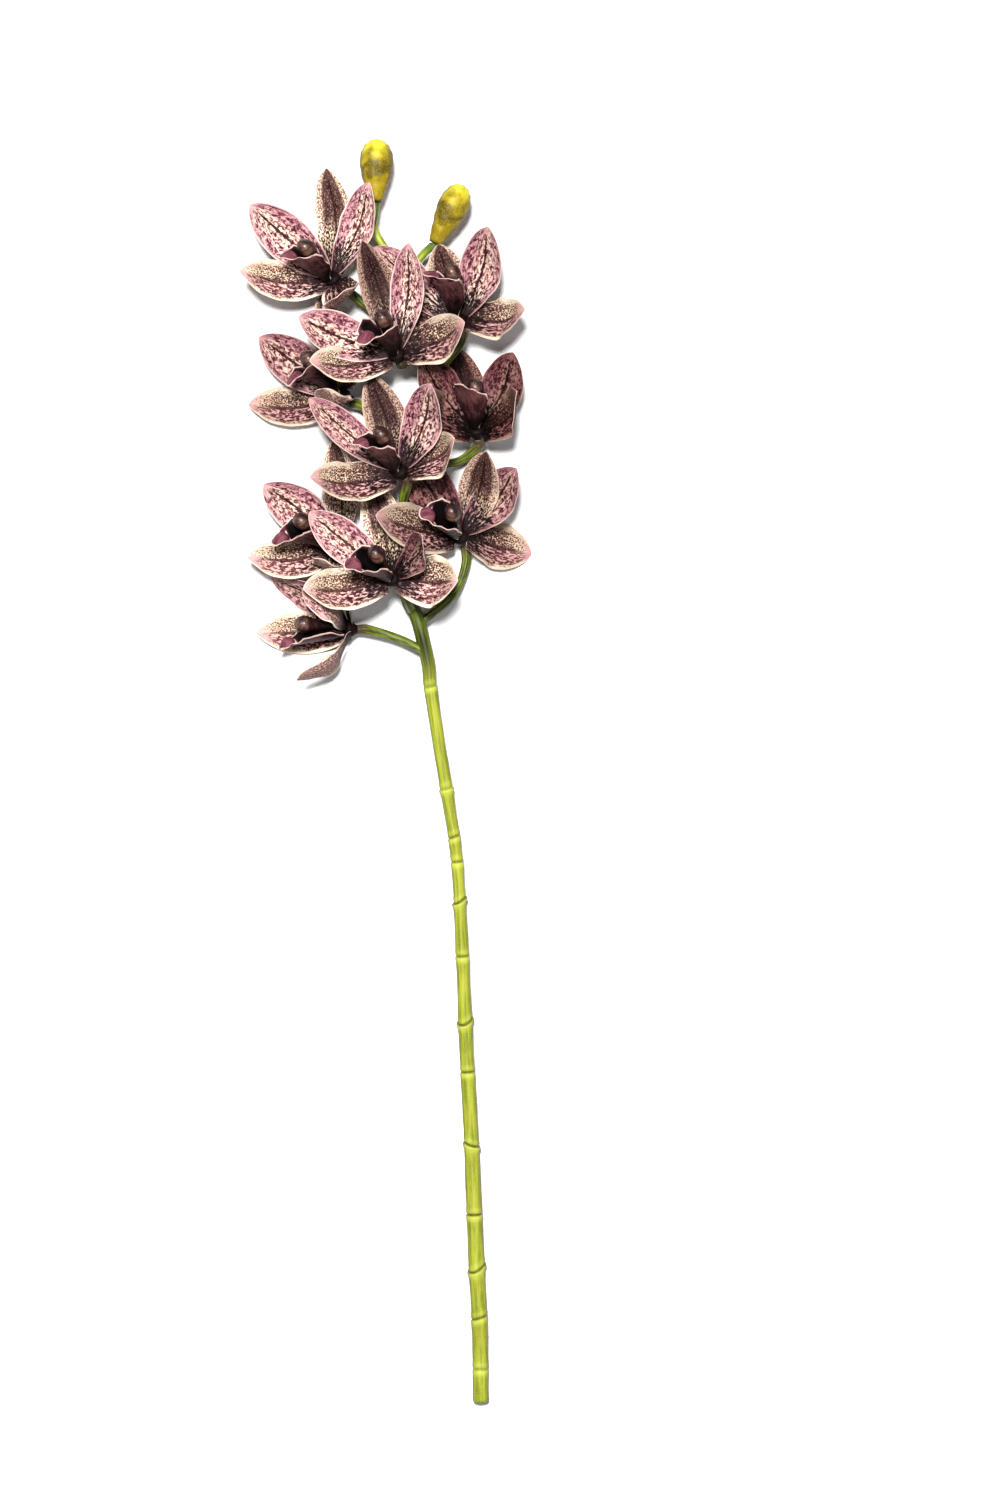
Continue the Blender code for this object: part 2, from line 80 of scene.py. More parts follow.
RIGHT_RIPPLE = 0.6
LEFT_RIPPLE = 2.4
BOW_OUTWARD = 0.3
BOW_POWER = 1.6

# Fine relief of a blade: how high each form is, and how many there are along or across it.
RIM_RIPPLE = 0.45
RIM_RIPPLES = 3.7
BUCKLE = 0.30
BUCKLES = 1.3
PLEAT = 0.07
PLEATS = 4.5
MIDRIB_DEPTH = 0.35
MIDRIB_WIDTH = 0.06

# Half thickness of a blade at its middle and at its rim, and of the lip's wall.
BLADE_HALF = 0.42
BLADE_RIM = 0.10
LIP_HALF = 0.45
LIP_RIM = 0.16

BLADE_ROWS = 44
BLADE_COLUMNS = 22
LIP_ROWS = 56
LIP_COLUMNS = 44
ROD_SIDES = 28

LIP_RADII = [(0.0, 3.8), (0.25, 7.0), (0.5, 9.3), (0.68, 10.4), (1.0, 9.8)]
LIP_WRAPS = [(0.0, 75), (0.2, 112), (0.45, 102), (0.68, 88)]
LIP_REACH = [(0.0, 1.0), (0.2, 0.98), (0.45, 0.84), (1.0, 0.64)]
LIP_DROP = 3.8
LIP_LIFT = 0.65
LIP_FLARE = 0.14
LIP_OPENING = 13.0
LIP_MOST_ARCH = 9.0
LIP_CURL = 2.0
LIP_EVENNESS = 0.62
LIP_FRILL = 0.06
LIP_FRILL_DEPTH = 2.5
LIP_RIM_DEPTH = 0.8

# Where the lip's cup ends along it, how high and long the fold there is, and how wide its middle
# is. Then the ball in front of the fold: its place, length, width, height and fullness.
LIP_FRONT = 0.72
FOLD_HEIGHT = 1.1
FOLD_LENGTH = 0.02
FRONT_WIDTH = 0.4
BALL_PLACE = 0.845
BALL_LENGTH = 0.125
BALL_WIDTH = 0.34
BALL_HEIGHT = 5.2
BALL_FULLNESS = 0.7

COLUMN_RADII = [(0.0, 2.0), (0.25, 2.0), (0.5, 2.3), (0.7, 3.4), (0.78, 4.3), (0.80, 4.7), (0.88, 5.45),
                (0.95, 5.45), (1.03, 4.8), (1.10, 3.5), (1.14, 1.9), (1.15, 0.5)]
COLUMN_END = 1.15
COLUMN_ARCH = 2.0
COLUMN_ROWS = 45
CAP_START = 0.78
CREASE_PLACE = 0.80
CREASE_DEPTH = 0.35
SEAT = 1.2
GAP = 0.3
BUD_SHARES = [(0.0, 0.38), (0.08, 0.50), (0.25, 0.68), (0.42, 0.88), (0.6, 1.0), (0.75, 0.97),
              (0.88, 0.78), (0.96, 0.48), (1.0, 0.10)]

# Each bloom: where its middle lies, then where the column, the lip and the blades end from there.
# Some also say how far the lip wraps round, how full its end lobe is, and how far painted
# shade darkens blades that lie in shade.
BLOOMS = {
    "bloom_01": {
        "base": (-89, 678, 24), "column": (-16, 17, 20), "lip": (-29, 11, 28),
        "dorsal": Blade(-3, 65, 8), "petal_left": Blade(-49, 43, 8),
        "petal_right": Blade(23, 55, 20, 0.86),
        "sepal_left": Blade(-55, 3, 12, 0.9), "sepal_right": Blade(4, -15, 36, 0.92),
    },
    "bloom_02": {
        "base": (-50, 631, 42), "column": (-8, 20, 22), "lip": (-21, 4, 36),
        "dorsal": Blade(-20, 67, 4, 0.85), "petal_left": Blade(-58, 21, 10),
        "petal_right": Blade(8, 64, 22, 0.75),
        "sepal_left": Blade(-51, -6, 20, 0.86), "sepal_right": Blade(41, 17, 22, 1.0),
        "painted_shade": {"all": 0.1, "dorsal": 0.6, "sepal_right": 0.2},
    },
    "bloom_03": {
        "base": (-13, 653, 27), "column": (-4, 28, 13), "lip": (-20, 26, 24),
        "dorsal": Blade(-12, 45, 0), "petal_left": Blade(-50, 43, 4, 0.9, 0.3),
        "petal_right": Blade(18, 54, 14),
        "sepal_left": Blade(-31, 12, 12), "sepal_right": Blade(40, 4, 16),
        "painted_shade": {"all": 0.3},
    },
    "bloom_04": {
        "base": (-84, 609, 13), "column": (-20, 21, 12), "lip": (-31, 5, 26),
        "dorsal": Blade(-12, 60, -2), "petal_left": Blade(-49, 34, 6),
        "petal_right": Blade(15, 34, 10, 0.8),
        "sepal_left": Blade(-56, -6, -7, 0.96), "sepal_right": Blade(-12, 1, 26, 0.84),
        "painted_shade": {"all": 0.35},
    },
    "bloom_05": {
        "base": (-48, 561, 44), "column": (-11, 21, 20), "lip": (-26, 16, 28),
        "dorsal": Blade(-18, 58, -8), "petal_left": Blade(-54, 43, 4, 0.72),
        "petal_right": Blade(19, 50, 26),
        "sepal_left": Blade(-53, -5, 16, 0.95), "sepal_right": Blade(33, 18, 24, 0.92),
        "painted_shade": {"all": 0.25, "dorsal": 0.3},
    },
    "bloom_06": {
        "base": (-2, 587, 18), "column": (-1, 26, 12), "lip": (-10, 27, 28),
        "wrap": 0.85, "lobe": 0.15,
        "dorsal": Blade(-13, 50, -6), "petal_left": Blade(-34, 42, 18, 1.0, 0.5),
        "petal_right": Blade(22, 46, 8),
        "sepal_left": Blade(-28, 21, 26, 0.9), "sepal_right": Blade(24, 21, 30),
        "painted_shade": {"all": 0.85},
    },
    "bloom_07": {
        "base": (-87, 517, 16), "column": (-21, 15, 17), "lip": (-38, 2, 18),
        "dorsal": Blade(-1, 64, 0), "petal_left": Blade(-43, 37, 8),
        "petal_right": Blade(14, 0, 14, 0.7, 0.5),
        "sepal_left": Blade(-53, -7, 4, 0.92), "sepal_right": Blade(-12, -8, 19, 0.8),
    },
    "bloom_08": {
        "base": (-12, 523, 17), "column": (-5, 14, 26), "lip": (-23, 13, 33),
        "dorsal": Blade(16, 50, 18), "petal_left": Blade(-31, 48, 14, 1.0, 0.4),
        "petal_right": Blade(34, 40, 16),
        "sepal_left": Blade(-50, 11, 34, 1.0, 0.4), "sepal_right": Blade(43, -10, -18),
        "painted_shade": {"all": 0.45, "petal_left": 0.4, "petal_right": 0.1},
    },
    "bloom_09": {
        "base": (-53, 497, 40), "column": (-9, 14, 25), "lip": (-26, 7, 32),
        "dorsal": Blade(-12, 60, -18, 1.0, 0.6), "petal_left": Blade(-49, 39, 6, 0.88),
        "petal_right": Blade(19, 24, 42, 0.75),
        "sepal_left": Blade(-52, -7, 18, 0.95), "sepal_right": Blade(40, -2, 20, 1.1),
        "painted_shade": {"petal_right": 0.7},
    },
    "bloom_10": {
        "base": (-80, 467, 12.5), "column": (-28, 3, 8), "lip": (-42, -11, 8), "wrap": 0.7,
        "dorsal": Blade(-13, 26, 8, 0.8, open=0.0), "petal_left": Blade(-46, 32, -10, 0.84, 0.6, 0.1),
        "petal_right": Blade(-26, 22, 36, 0.88, open=-0.3),
        "sepal_left": Blade(-55, -2, -7.5, 0.9, open=0.1),
        "sepal_right": Blade(-30, -31, 19, 0.68, open=-0.25),
        "painted_shade": {"petal_left": 0.4},
    },
}

# The stem's middle line from the cut end up, with its radius at each point.
STEM_LINE = [
    ((0.4, 0.02, 5.2), 5.0), ((0.3, 8.0, 5.3), 4.8), ((0.1, 27.0, 5.6), 4.8), ((-0.4, 48.6, 5.9), 4.9),
    ((-2.4, 87.0, 6.5), 4.9), ((-4.2, 129.6, 7.2), 4.8), ((-5.4, 159.6, 7.6), 4.5),
    ((-8.3, 213.0, 8.4), 4.4), ((-10.8, 270.6, 9.2), 4.0), ((-14.0, 327.0, 10.0), 3.6),
    ((-19.4, 365.0, 10.6), 3.8), ((-25.0, 399.0, 11.2), 3.9), ((-30.0, 432.6, 11.8), 3.9),
    ((-31.6, 448.0, 12.0), 4.3), ((-38.0, 474.0, 12.5), 4.2), ((-43.8, 486.0, 12.8), 4.0),
    ((-45.0, 515.0, 13.5), 3.6), ((-42.0, 556.0, 15.0), 3.3), ((-35.0, 586.0, 16.0), 3.1),
    ((-29.5, 616.0, 16.5), 2.9), ((-32.5, 646.0, 17.0), 2.8), ((-40.0, 673.0, 17.0), 2.7),
    ((-45.0, 687.0, 17.0), 2.5),
]

# A joint of the stem: distance from the cut end, how far its collar stands out, how much higher its
# right side is than its left, how far its near side dips, and how deep its groove is.
Joint = namedtuple("Joint", "place collar slant dip groove")
JOINTS = [
    Joint(20.0, 0.25, 0.0, 0.0, 0.35), Joint(51.5, 0.4, 1.2, 0.5, 0.7), Joint(82.0, 1.0, 2.2, 2.6, 0.8),
    Joint(114.0, 0.4, 0.0, 0.6, 0.8), Joint(156.5, 1.0, -1.6, 1.2, 0.8), Joint(200.0, 0.3, 0.0, 0.3, 0.7),
    Joint(231.5, 1.0, 1.4, 3.0, 0.8), Joint(270.0, 0.4, 0.0, 0.4, 0.6), Joint(304.0, 1.2, 2.0, 1.5, 0.8),
    Joint(327.0, 0.3, 0.0, 0.3, 0.6), Joint(342.0, 0.3, 0.7, 0.2, 0.6), Joint(371.5, 0.9, 0.3, 0.6, 0.3),
    Joint(433.0, 0.5, 0.3, 0.5, 0.3),
]

# Flower stalks: points between the stem and the back of each bloom.
PEDICELS = {
    "bloom_01": [(-36, 652, 18), (-60, 657, 16), (-76, 668, 14)],
    "bloom_02": [(-33, 642, 18), (-38, 634, 24)],
    "bloom_03": [(-29.5, 616, 16.5), (-21, 627, 20), (-13, 637, 20)],
    "bloom_04": [(-36, 584, 16), (-57, 593, 14), (-72, 602, 13)],
    "bloom_05": [(-44.5, 522, 14), (-47.5, 533, 20), (-46, 545, 29)],
    "bloom_06": [(-41, 562, 15), (-26, 566, 13), (-12, 569, 10)],
    "bloom_07": [(-44, 492, 13), (-62, 503, 12), (-74, 511, 12)],
    "bloom_08": [(-37, 470, 12), (-17, 487, 10), (-9, 505, 7)],
    "bloom_09": [(-41, 478, 13), (-43, 482, 22)],
    "bloom_10": [(-32, 453, 12), (-48, 461, 13), (-60, 465, 13)],
}
PEDICEL_RADIUS = 2.6
RECEPTACLE_RADIUS = 3.2
PEDICEL_AIM = 5.0

BUDS = {
    "bud_01": {
        "stalk": [(-45, 686, 17), (-52, 691, 18), (-59, 699, 20), (-64, 709, 21), (-63.6, 716, 22)],
        "base": (-63, 724, 22), "tip": (-62, 762, 22), "radius": 10.3,
    },
    "bud_02": {
        "stalk": [(-42, 680, 17), (-38, 688, 19), (-33, 694, 21)],
        "base": (-27.5, 699, 22.5), "tip": (-10, 734, 24), "radius": 9.6,
    },
}
STALK_RADIUS = 2.4

# Spacing of rows along stalks and stem, and the length that the stem's shares are counted in.
STALK_STEP = 0.8
STEM_STEP = 0.55
STEM_REACH = 700.0
STEM_SIDES = 40
BUD_ROWS = 61
BUD_SIDES = 48

# How far apart the markings of two pieces lie in the noise they are made from, the half width
# that markings take a blade for, and the height of the fine relief that they raise, in metres.
MARK_STEP = 17.0
MARK_WIDTH = 13.0
RELIEF = 0.0004

# The picture: the point of the plan in its middle, its height, and the camera's distance above it.
VIEW_CENTRE = (12.0, 394.8)
VIEW_HEIGHT = 898.8
VIEW_LEVEL = 30.0
CAMERA_RISE = 3000.0
SENSOR = 36.0

# In metres, the floor's half side and level and where the lamps point. Then the world's light.
FLOOR_REACH = 1.8
FLOOR_LEVEL = -0.0001
LIGHT_AIM = (0.0, 0.1, 0.0)
WHITE = (1.0, 1.0, 1.0, 1.0)
ROOM_LIGHT = 0.04
ROOM_PALENESS = 0.85


def unit(vectors):
    return vectors / np.maximum(np.linalg.norm(vectors, axis=-1, keepdims=True), 1e-9)


def dot(first, second):
    return np.sum(first * second, axis=-1, keepdims=True)


def vector(values):
    return np.array(values, float)


def triple(first, second, third):
    """Three values as one vector for each point of a sheet or rod."""
    return np.stack(np.broadcast_arrays(first, second, third), axis=-1)


def bump(values, middle, width):
    """1 at the middle, fading to 0 on both sides of it."""
    return np.exp(-((values - middle) / width) ** 2)


def turn(count):
    """Even angles once round a rod, from its low side."""
    return np.linspace(0.0, math.tau, count, endpoint=False)[None, :]


def ease(values, table):
    """Values read from a short table of (place, value) pairs, eased between them."""
    values = np.asarray(values, float)
    places = [place for place, _ in table]
    heights = [height for _, height in table]
    result = np.full(values.shape, float(heights[0]))
    for low, high, first, second in zip(places, places[1:], heights, heights[1:]):
        share = np.clip((values - low) / (high - low), 0.0, 1.0)
        result += (second - first) * share * share * (3.0 - 2.0 * share)
    return result


def smooth_path(points, steps):
    """Points on a smooth curve that runs through the given points."""
    points = np.array(points, float)
    ends = np.vstack([points[0] * 2 - points[1], points, points[-1] * 2 - points[-2]])
    curve = []
    for before, start, end, after in zip(ends, ends[1:], ends[2:], ends[3:]):
        for step in range(steps):
            t = step / steps
            curve.append(0.5 * (2 * start + (end - before) * t
                                + (2 * before - 5 * start + 4 * end - after) * t ** 2
                                + (3 * start - before - 3 * end + after) * t ** 3))
    curve.append(points[-1])
    return np.array(curve)


def even_path(curve, spacing):
    """The same curve with points an even distance apart, and the distance of each from its start."""
    lengths = np.concatenate([[0.0], np.cumsum(np.linalg.norm(np.diff(curve, axis=0), axis=1))])
    count = max(int(round(lengths[-1] / spacing)), 4)
    places = np.linspace(0.0, lengths[-1], count + 1)
    points = np.stack([np.interp(places, lengths, curve[:, axis]) for axis in range(3)], axis=1)
    return points, places


class Piece:
    """Points, faces and named values of one piece, gathered from several sheets and rods."""

    def __init__(self, name, node, slot, finishes):
        self.name = name
        self.node = node
        self.slot = slot
        self.finishes = finishes
        self.points = []
        self.place = []
        self.share = []
        self.painted_shade = []
        self.faces = []
        self.face_finish = []
        self.count = 0

    def add(self, points, place, share, faces, finish, painted_shade=0.0):
        self.points.append(points.reshape(-1, 3))
        self.place.append(place.reshape(-1, 3))
        self.share.append(share.reshape(-1, 3))
        self.faces += [tuple(int(corner) + self.count for corner in face) for face in faces]
        self.face_finish += list(finish)
        self.count += self.points[-1].shape[0]
        self.painted_shade += [painted_shade] * self.points[-1].shape[0]

    def build(self):
        mesh = bpy.data.meshes.new(self.name)
        points = (np.concatenate(self.points) - PLAN_CENTRE) * MM
        mesh.from_pydata(points.tolist(), [], self.faces)
        for finish in self.finishes:
            mesh.materials.append(finish)
        mesh.polygons.foreach_set("material_index", self.face_finish)
        for label, values in (("place", self.place), ("share", self.share)):
            attribute = mesh.attributes.new(label, "FLOAT_VECTOR", "POINT")
            attribute.data.foreach_set("vector", np.concatenate(values).astype(np.float32).ravel())
        mesh.attributes.new("painted_shade", "FLOAT", "POINT").data.foreach_set("value", self.painted_shade)
        mesh.shade_smooth()
        mesh.update()
        result = bpy.data.objects.new(self.name, mesh)
        bpy.context.scene.collection.objects.link(result)
        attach(result, "root")
        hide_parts(self.node)
        return result


def add_sheet(piece, middle, normal, half, place, share, finishes, painted_shade=0.0):
    """A thin closed sheet; finishes are those of its front, its back and its rim."""
    front = middle + normal * half
    back = middle - normal * half
    back[..., 2] = np.maximum(back[..., 2], 0.0)
    front[..., 2] = np.maximum(front[..., 2], back[..., 2] + half[..., 0])
    rows, columns = middle.shape[:2]
    index = np.arange(rows * columns).reshape(rows, columns)
    a, b = index[:-1, :-1], index[:-1, 1:]
    c, d = index[1:, 1:], index[1:, :-1]
    front_faces = np.stack([a, b, c, d], axis=-1).reshape(-1, 4)
    back_faces = np.stack([a, d, c, b], axis=-1).reshape(-1, 4) + rows * columns
    edge = np.concatenate([index[0, :], index[1:, -1], index[-1, -2::-1], index[-2:0:-1, 0]])
    following = np.roll(edge, -1)
    rim_faces = np.stack([following, edge, edge + rows * columns, following + rows * columns], axis=-1)
    faces = np.concatenate([front_faces, back_faces, rim_faces])
    finish = [finishes[0]] * len(front_faces) + [finishes[1]] * len(back_faces)
    finish += [finishes[2]] * len(rim_faces)
    twins = [np.stack(pair) for pair in ((front, back), (place, place), (share, share))]
    piece.add(*twins, faces, finish, painted_shade)


def rod_frames(path):
    """Side and up directions at each point of a path, without twist."""
    along = unit(np.gradient(path, axis=0))
    side = np.cross(along[0], UP)
    if np.linalg.norm(side) < 0.1:
        side = np.cross(along[0], (1.0, 0.0, 0.0))
    sides = []
    for direction in along:
        side = unit(side - direction * np.dot(side, direction))
        sides.append(side)
    sides = np.array(sides)
    return sides, np.cross(sides, along)


def add_rod(piece, path, radius, place, share, finish):
    """A closed rod; radius has a value for each point of the path and each corner round it."""
    side, up = rod_frames(path)
    count, sides = radius.shape
    angle = turn(sides)[..., None]
    out = side[:, None, :] * np.sin(angle) - up[:, None, :] * np.cos(angle)
    points = path[:, None, :] + out * radius[..., None]
    points[..., 2] = np.maximum(points[..., 2], 0.0)
    index = np.arange(count * sides).reshape(count, sides)
    turned = np.roll(index, -1, axis=1)
    faces = np.stack([index[:-1], index[1:], turned[1:], turned[:-1]], axis=-1).reshape(-1, 4).tolist()
    faces.append(index[0].tolist())
    faces.append(index[-1][::-1].tolist())
    piece.add(points, place, share, faces, [finish] * len(faces))


def bloom_frame(bloom):
    """The way a bloom faces, and the side on which its dorsal sepal stands."""
    column = vector(bloom["column"])
    lip = unit(vector(bloom["lip"]))
    facing = unit(unit(column) * COLUMN_SHARE + lip * (1.0 - COLUMN_SHARE))
    return facing, unit(column - facing * dot(column, facing))


def blade_outline(t, foot):
    """Half width of a blade along its length as a share of its greatest half width."""
    spread = ((t + foot) / (BLADE_WIDEST + foot)) ** WIDENING
    close = ((1.0 - t) / (1.0 - BLADE_WIDEST)) ** NARROWING
    return np.maximum(spread * close, BLADE_TIP)


def add_blade(piece, bloom, kind, seed, finishes):
    """A sepal or petal: a bowed, cupped and waved blade with a groove along its middle."""
    form = BLADE_FORMS[kind]
    blade = bloom[kind]
    facing = bloom_frame(bloom)[0]
    open_side = unit(facing + UP * blade.open)
    base = vector(bloom["base"])
    reach = vector((blade.x, blade.y, blade.z))
    chord = unit(reach)
    normal = unit(open_side - chord * dot(open_side, chord))
    outward = unit(chord - facing * dot(chord, facing))
    root = base + outward * BLADE_ROOT + facing * form["root"]
    tip = base + reach
    bow = form["bow"] * blade.bow
    swing = outward * bow * BOW_OUTWARD - normal * bow
    t = np.linspace(0.0, 1.0, BLADE_ROWS + 1)[:, None]
    s = np.sin(np.linspace(-1.0, 1.0, BLADE_COLUMNS + 1) * math.pi / 2)[None, :]
    arch = np.sin(math.pi * t)
    spine = root + (tip - root) * t + swing * arch ** BOW_POWER
    turn = BOW_POWER * math.pi * np.abs(arch) ** (BOW_POWER - 1.0) * np.cos(math.pi * t)
    along = unit(tip - root + swing * turn)
    normal = unit(normal - along * dot(normal, along))
    side = np.cross(along, normal)
    half = form["width"] / 2 * blade.width * blade_outline(t, form["foot"])
    phase = t * math.tau * RIPPLES + np.where(s > 0, RIGHT_RIPPLE, LEFT_RIPPLE)
    fade = np.sin(math.pi * np.minimum(t * 1.1, 1.0))
    wave = form["wave"] * np.sin(phase) * np.abs(s) ** 3 * fade
    ripple = RIM_RIPPLE * np.sin(t * math.tau * RIM_RIPPLES + s * 1.5 + seed * 2.1) * s ** 4 * fade
    buckle = BUCKLE * np.sin(t * math.tau * BUCKLES + s * 2.6 + seed) * fade
    groove = -MIDRIB_DEPTH * bump(s, 0.0, MIDRIB_WIDTH) * fade
    pleats = PLEAT * np.cos(s * math.tau * PLEATS) * fade * (1.0 - s ** 4)
    cup = form["cup"] * np.minimum(t * 4.0, 1.0)
    rise = cup * half * s * s + wave + ripple + buckle + groove + pleats
    middle = spine[:, None, :] + side[:, None, :] * (half * s)[..., None]
    middle = middle + normal[:, None, :] * rise[..., None]
    slope = 2.0 * cup * s
    tilted = unit(normal[:, None, :] - side[:, None, :] * slope[..., None])
    thick = BLADE_RIM + (BLADE_HALF - BLADE_RIM) * (1.0 - s ** 4) * (1.0 - 0.5 * t)
    length = np.linalg.norm(tip - root)
    lower = 1.0 if np.cross(along[BLADE_ROWS // 2], normal[BLADE_ROWS // 2])[1] < 0 else -1.0
    place = triple(s * MARK_WIDTH, t * length, seed * MARK_STEP)
    share = triple(s, t, s * lower)
    # Painted shade: blades and blooms that lie in shade among the others are darkened as a whole.
    painted_shades = bloom.get("painted_shade", {})
    painted_shade = painted_shades.get("all", 0.0) + painted_shades.get(kind, 0.0)
    add_sheet(piece, middle, tilted, thick[..., None], place, share, finishes, painted_shade)


def add_hub(piece, bloom, seed, finish):
    """The boss that joins the five blades."""
    t = np.linspace(0.0, 1.0, 13)
    places = -HUB_BACK + (HUB_BACK + HUB_FRONT) * t
    path = vector(bloom["base"]) + bloom_frame(bloom)[0] * places[:, None]
    radius = ease(t, [(0.0, 2.8), (0.4, 4.6), (0.78, HUB_RADIUS), (1.0, HUB_RADIUS * 0.75)])
    radius = radius[:, None] * np.ones((1, ROD_SIDES))
    ones = np.ones_like(radius)
    place = triple(ones, places[:, None], seed)
    # Its shares give the whole boss the near black painted shade of the blades' foot.
    add_rod(piece, path, radius, place, triple(ones * 0.0, 0.0, 1.0), finish)


def add_lip(piece, bloom, seed, finishes):
    """The lip: a trough round the column, with a waved rim, that ends in a rounded lobe."""
    facing, up = bloom_frame(bloom)
    base = vector(bloom["base"])
    reach = vector(bloom["lip"])
    column = vector(bloom["column"])
    along = unit(reach)
    rise = unit(column - along * dot(column, along))
    side = np.cross(along, rise)
    root = base + facing * (HUB_FRONT + LIP_LIFT) - up * LIP_DROP
    w = np.linspace(-1.0, 1.0, LIP_COLUMNS + 1)[None, :]
    v = w * (LIP_EVENNESS + (1.0 - LIP_EVENNESS) * w * w)
    row = np.sin(np.linspace(0.0, 1.0, LIP_ROWS + 1) * math.pi / 2)[:, None]
    t = row * ease(np.abs(v), LIP_REACH)
    v = v * np.ones_like(t)
    radius = ease(t, LIP_RADII)
    wrap = np.radians(ease(t, LIP_WRAPS)) * bloom.get("wrap", 1.0)
    curl = np.maximum(t - LIP_FRONT, 0.0) / (1.0 - LIP_FRONT)
    line = base + reach - root
    reached = column - (root - base)
    away = np.linalg.norm(reached - line * dot(reached, line) / dot(line, line))
    arch = min(max(away - LIP_OPENING, 0.0), LIP_MOST_ARCH)
    ball = np.maximum(1.0 - ((t - BALL_PLACE) / BALL_LENGTH) ** 2 - (v / BALL_WIDTH) ** 2, 0.0)
    fold = bump(t, LIP_FRONT, FOLD_LENGTH) * np.exp(-(v / FRONT_WIDTH) ** 4)
    lobe = bloom.get("lobe", 1.0)
    swell = lobe * (BALL_HEIGHT * ball ** BALL_FULLNESS + FOLD_HEIGHT * fold)
    lift = arch * np.sin(math.pi * t) - LIP_CURL * curl * curl + swell
    keel = root + line * t[..., None] + rise * lift[..., None]
    angle = v * wrap
    length = np.linalg.norm(line)
    rim = np.minimum((1.0 - np.abs(v)) * wrap * radius, (t / np.maximum(row, 0.01) - t) * length)
    near_rim = np.exp(-rim / LIP_FRILL_DEPTH)
    frill = LIP_FRILL * np.sin(t * 19.0 + v * 9.0 + seed) * near_rim * np.minimum(t * 3.0, 1.0)
    flare = 1.0 + LIP_FLARE * np.abs(v) ** 3 * np.minimum(t * 2.0, 1.0) + frill
    inward = rise * np.cos(angle)[..., None] - side * np.sin(angle)[..., None]
    middle = keel + rise * radius[..., None] - inward * (radius * flare)[..., None]
    normal = unit(np.cross(np.gradient(middle, axis=0), np.gradient(middle, axis=1)))
    normal = normal * np.sign(np.mean(dot(normal, inward)))
    thick = LIP_HALF - (LIP_HALF - LIP_RIM) * np.exp(-rim / LIP_RIM_DEPTH)
    aside = np.maximum(np.abs(v) - FRONT_WIDTH, 0.0) + 1.0 - lobe
    rim = np.minimum(rim, np.abs(t - LIP_FRONT) * length + 5.0 * aside)
    place = triple(angle * radius, t * length, seed * MARK_STEP)
    add_sheet(piece, middle, normal, thick[..., None], place, triple(v, t, rim), finishes)


def add_column(piece, bloom, seed, finish):
    """The column: an arching rod that ends in the rounded anther cap."""
    facing, up = bloom_frame(bloom)
    base = vector(bloom["base"])
    tip = base + vector(bloom["column"])
    root = base + facing * (HUB_FRONT + GAP)
    middle = (root + tip) / 2 + up * COLUMN_ARCH
    t = np.linspace(0.0, COLUMN_END, COLUMN_ROWS)[:, None]
    path = root * (1 - t) ** 2 + middle * 2 * t * (1 - t) + tip * t ** 2
    angle = turn(ROD_SIDES)
    cap = np.clip((t - CAP_START) / 0.1, 0.0, 1.0)
    crease = CREASE_DEPTH * bump(t, CREASE_PLACE, 0.012)
    radius = ease(t, COLUMN_RADII) * (1.0 + 0.05 * np.cos(2 * angle) * cap) - crease
    place = triple(angle * radius, t * np.linalg.norm(tip - root), seed * MARK_STEP)
    share = triple(angle / math.tau, t, -np.cos(angle))
    add_rod(piece, path, np.maximum(radius, 0.3), place, share, finish)


def joint_profile(distance, right, near):
    """Change of radius, groove darkness and painted highlight band of the stem's joints.

    Each joint has a groove with a soft swelling above it, and a collar below it that fades out.
    """
    extra = np.zeros(np.broadcast(distance, right).shape)
    dark = np.zeros_like(extra)
    light = np.zeros_like(extra)
    for joint in JOINTS:
        past = distance - joint.place - joint.slant * right + joint.dip * near
        extra -= joint.groove * bump(past, 0.0, 0.55)
        extra += 0.22 * bump(past, 2.4, 1.7)
        extra += joint.collar * bump(past, -1.5, 1.3)
        extra += 0.18 * bump(past, -5.0, 3.5)
        dark += joint.groove * 1.4 * bump(past, 0.0, 0.75)
        # Painted highlight: light bands on the collar and on the swelling.
        light += bump(past, -2.0, 1.8) + 0.4 * bump(past, 2.4, 1.6)
    return extra, np.clip(dark, 0.0, 1.0), np.clip(light, 0.0, 1.0)


def add_stem(piece, finish):
    """The main stem: jointed like a cane, with a groove and a slanted collar at each joint."""
    line = smooth_path([point for point, _ in STEM_LINE], 16)
    path, _ = even_path(line, STEM_STEP)
    distance = path[:, 1][:, None]
    angle = turn(STEM_SIDES)
    right, near = np.sin(angle), -np.cos(angle)
    extra, dark, light = joint_profile(distance, right, near)
    radius = ease(distance, [(point[1], size) for point, size in STEM_LINE])
    flutes = 0.05 * np.cos(7 * angle + distance * 0.01)
    dents = 0.06 * np.sin(distance * 0.13 + 2.0 * angle) + 0.05 * np.sin(distance * 0.31 - 3.0 * angle)
    cut = 0.6 * bump(distance, 0.0, 0.8)
    radius = radius + extra + flutes + dents - cut
    place = triple(angle * 4.5, distance, 3.0)
    # Painted shade on the stem's flanks and underside, none along its top.
    under = 0.7 * np.clip((0.9 - near) / 0.7, 0.0, 1.0)
    share = triple(light, distance / STEM_REACH, np.maximum(dark, under))
    add_rod(piece, path, radius, place, share, finish)


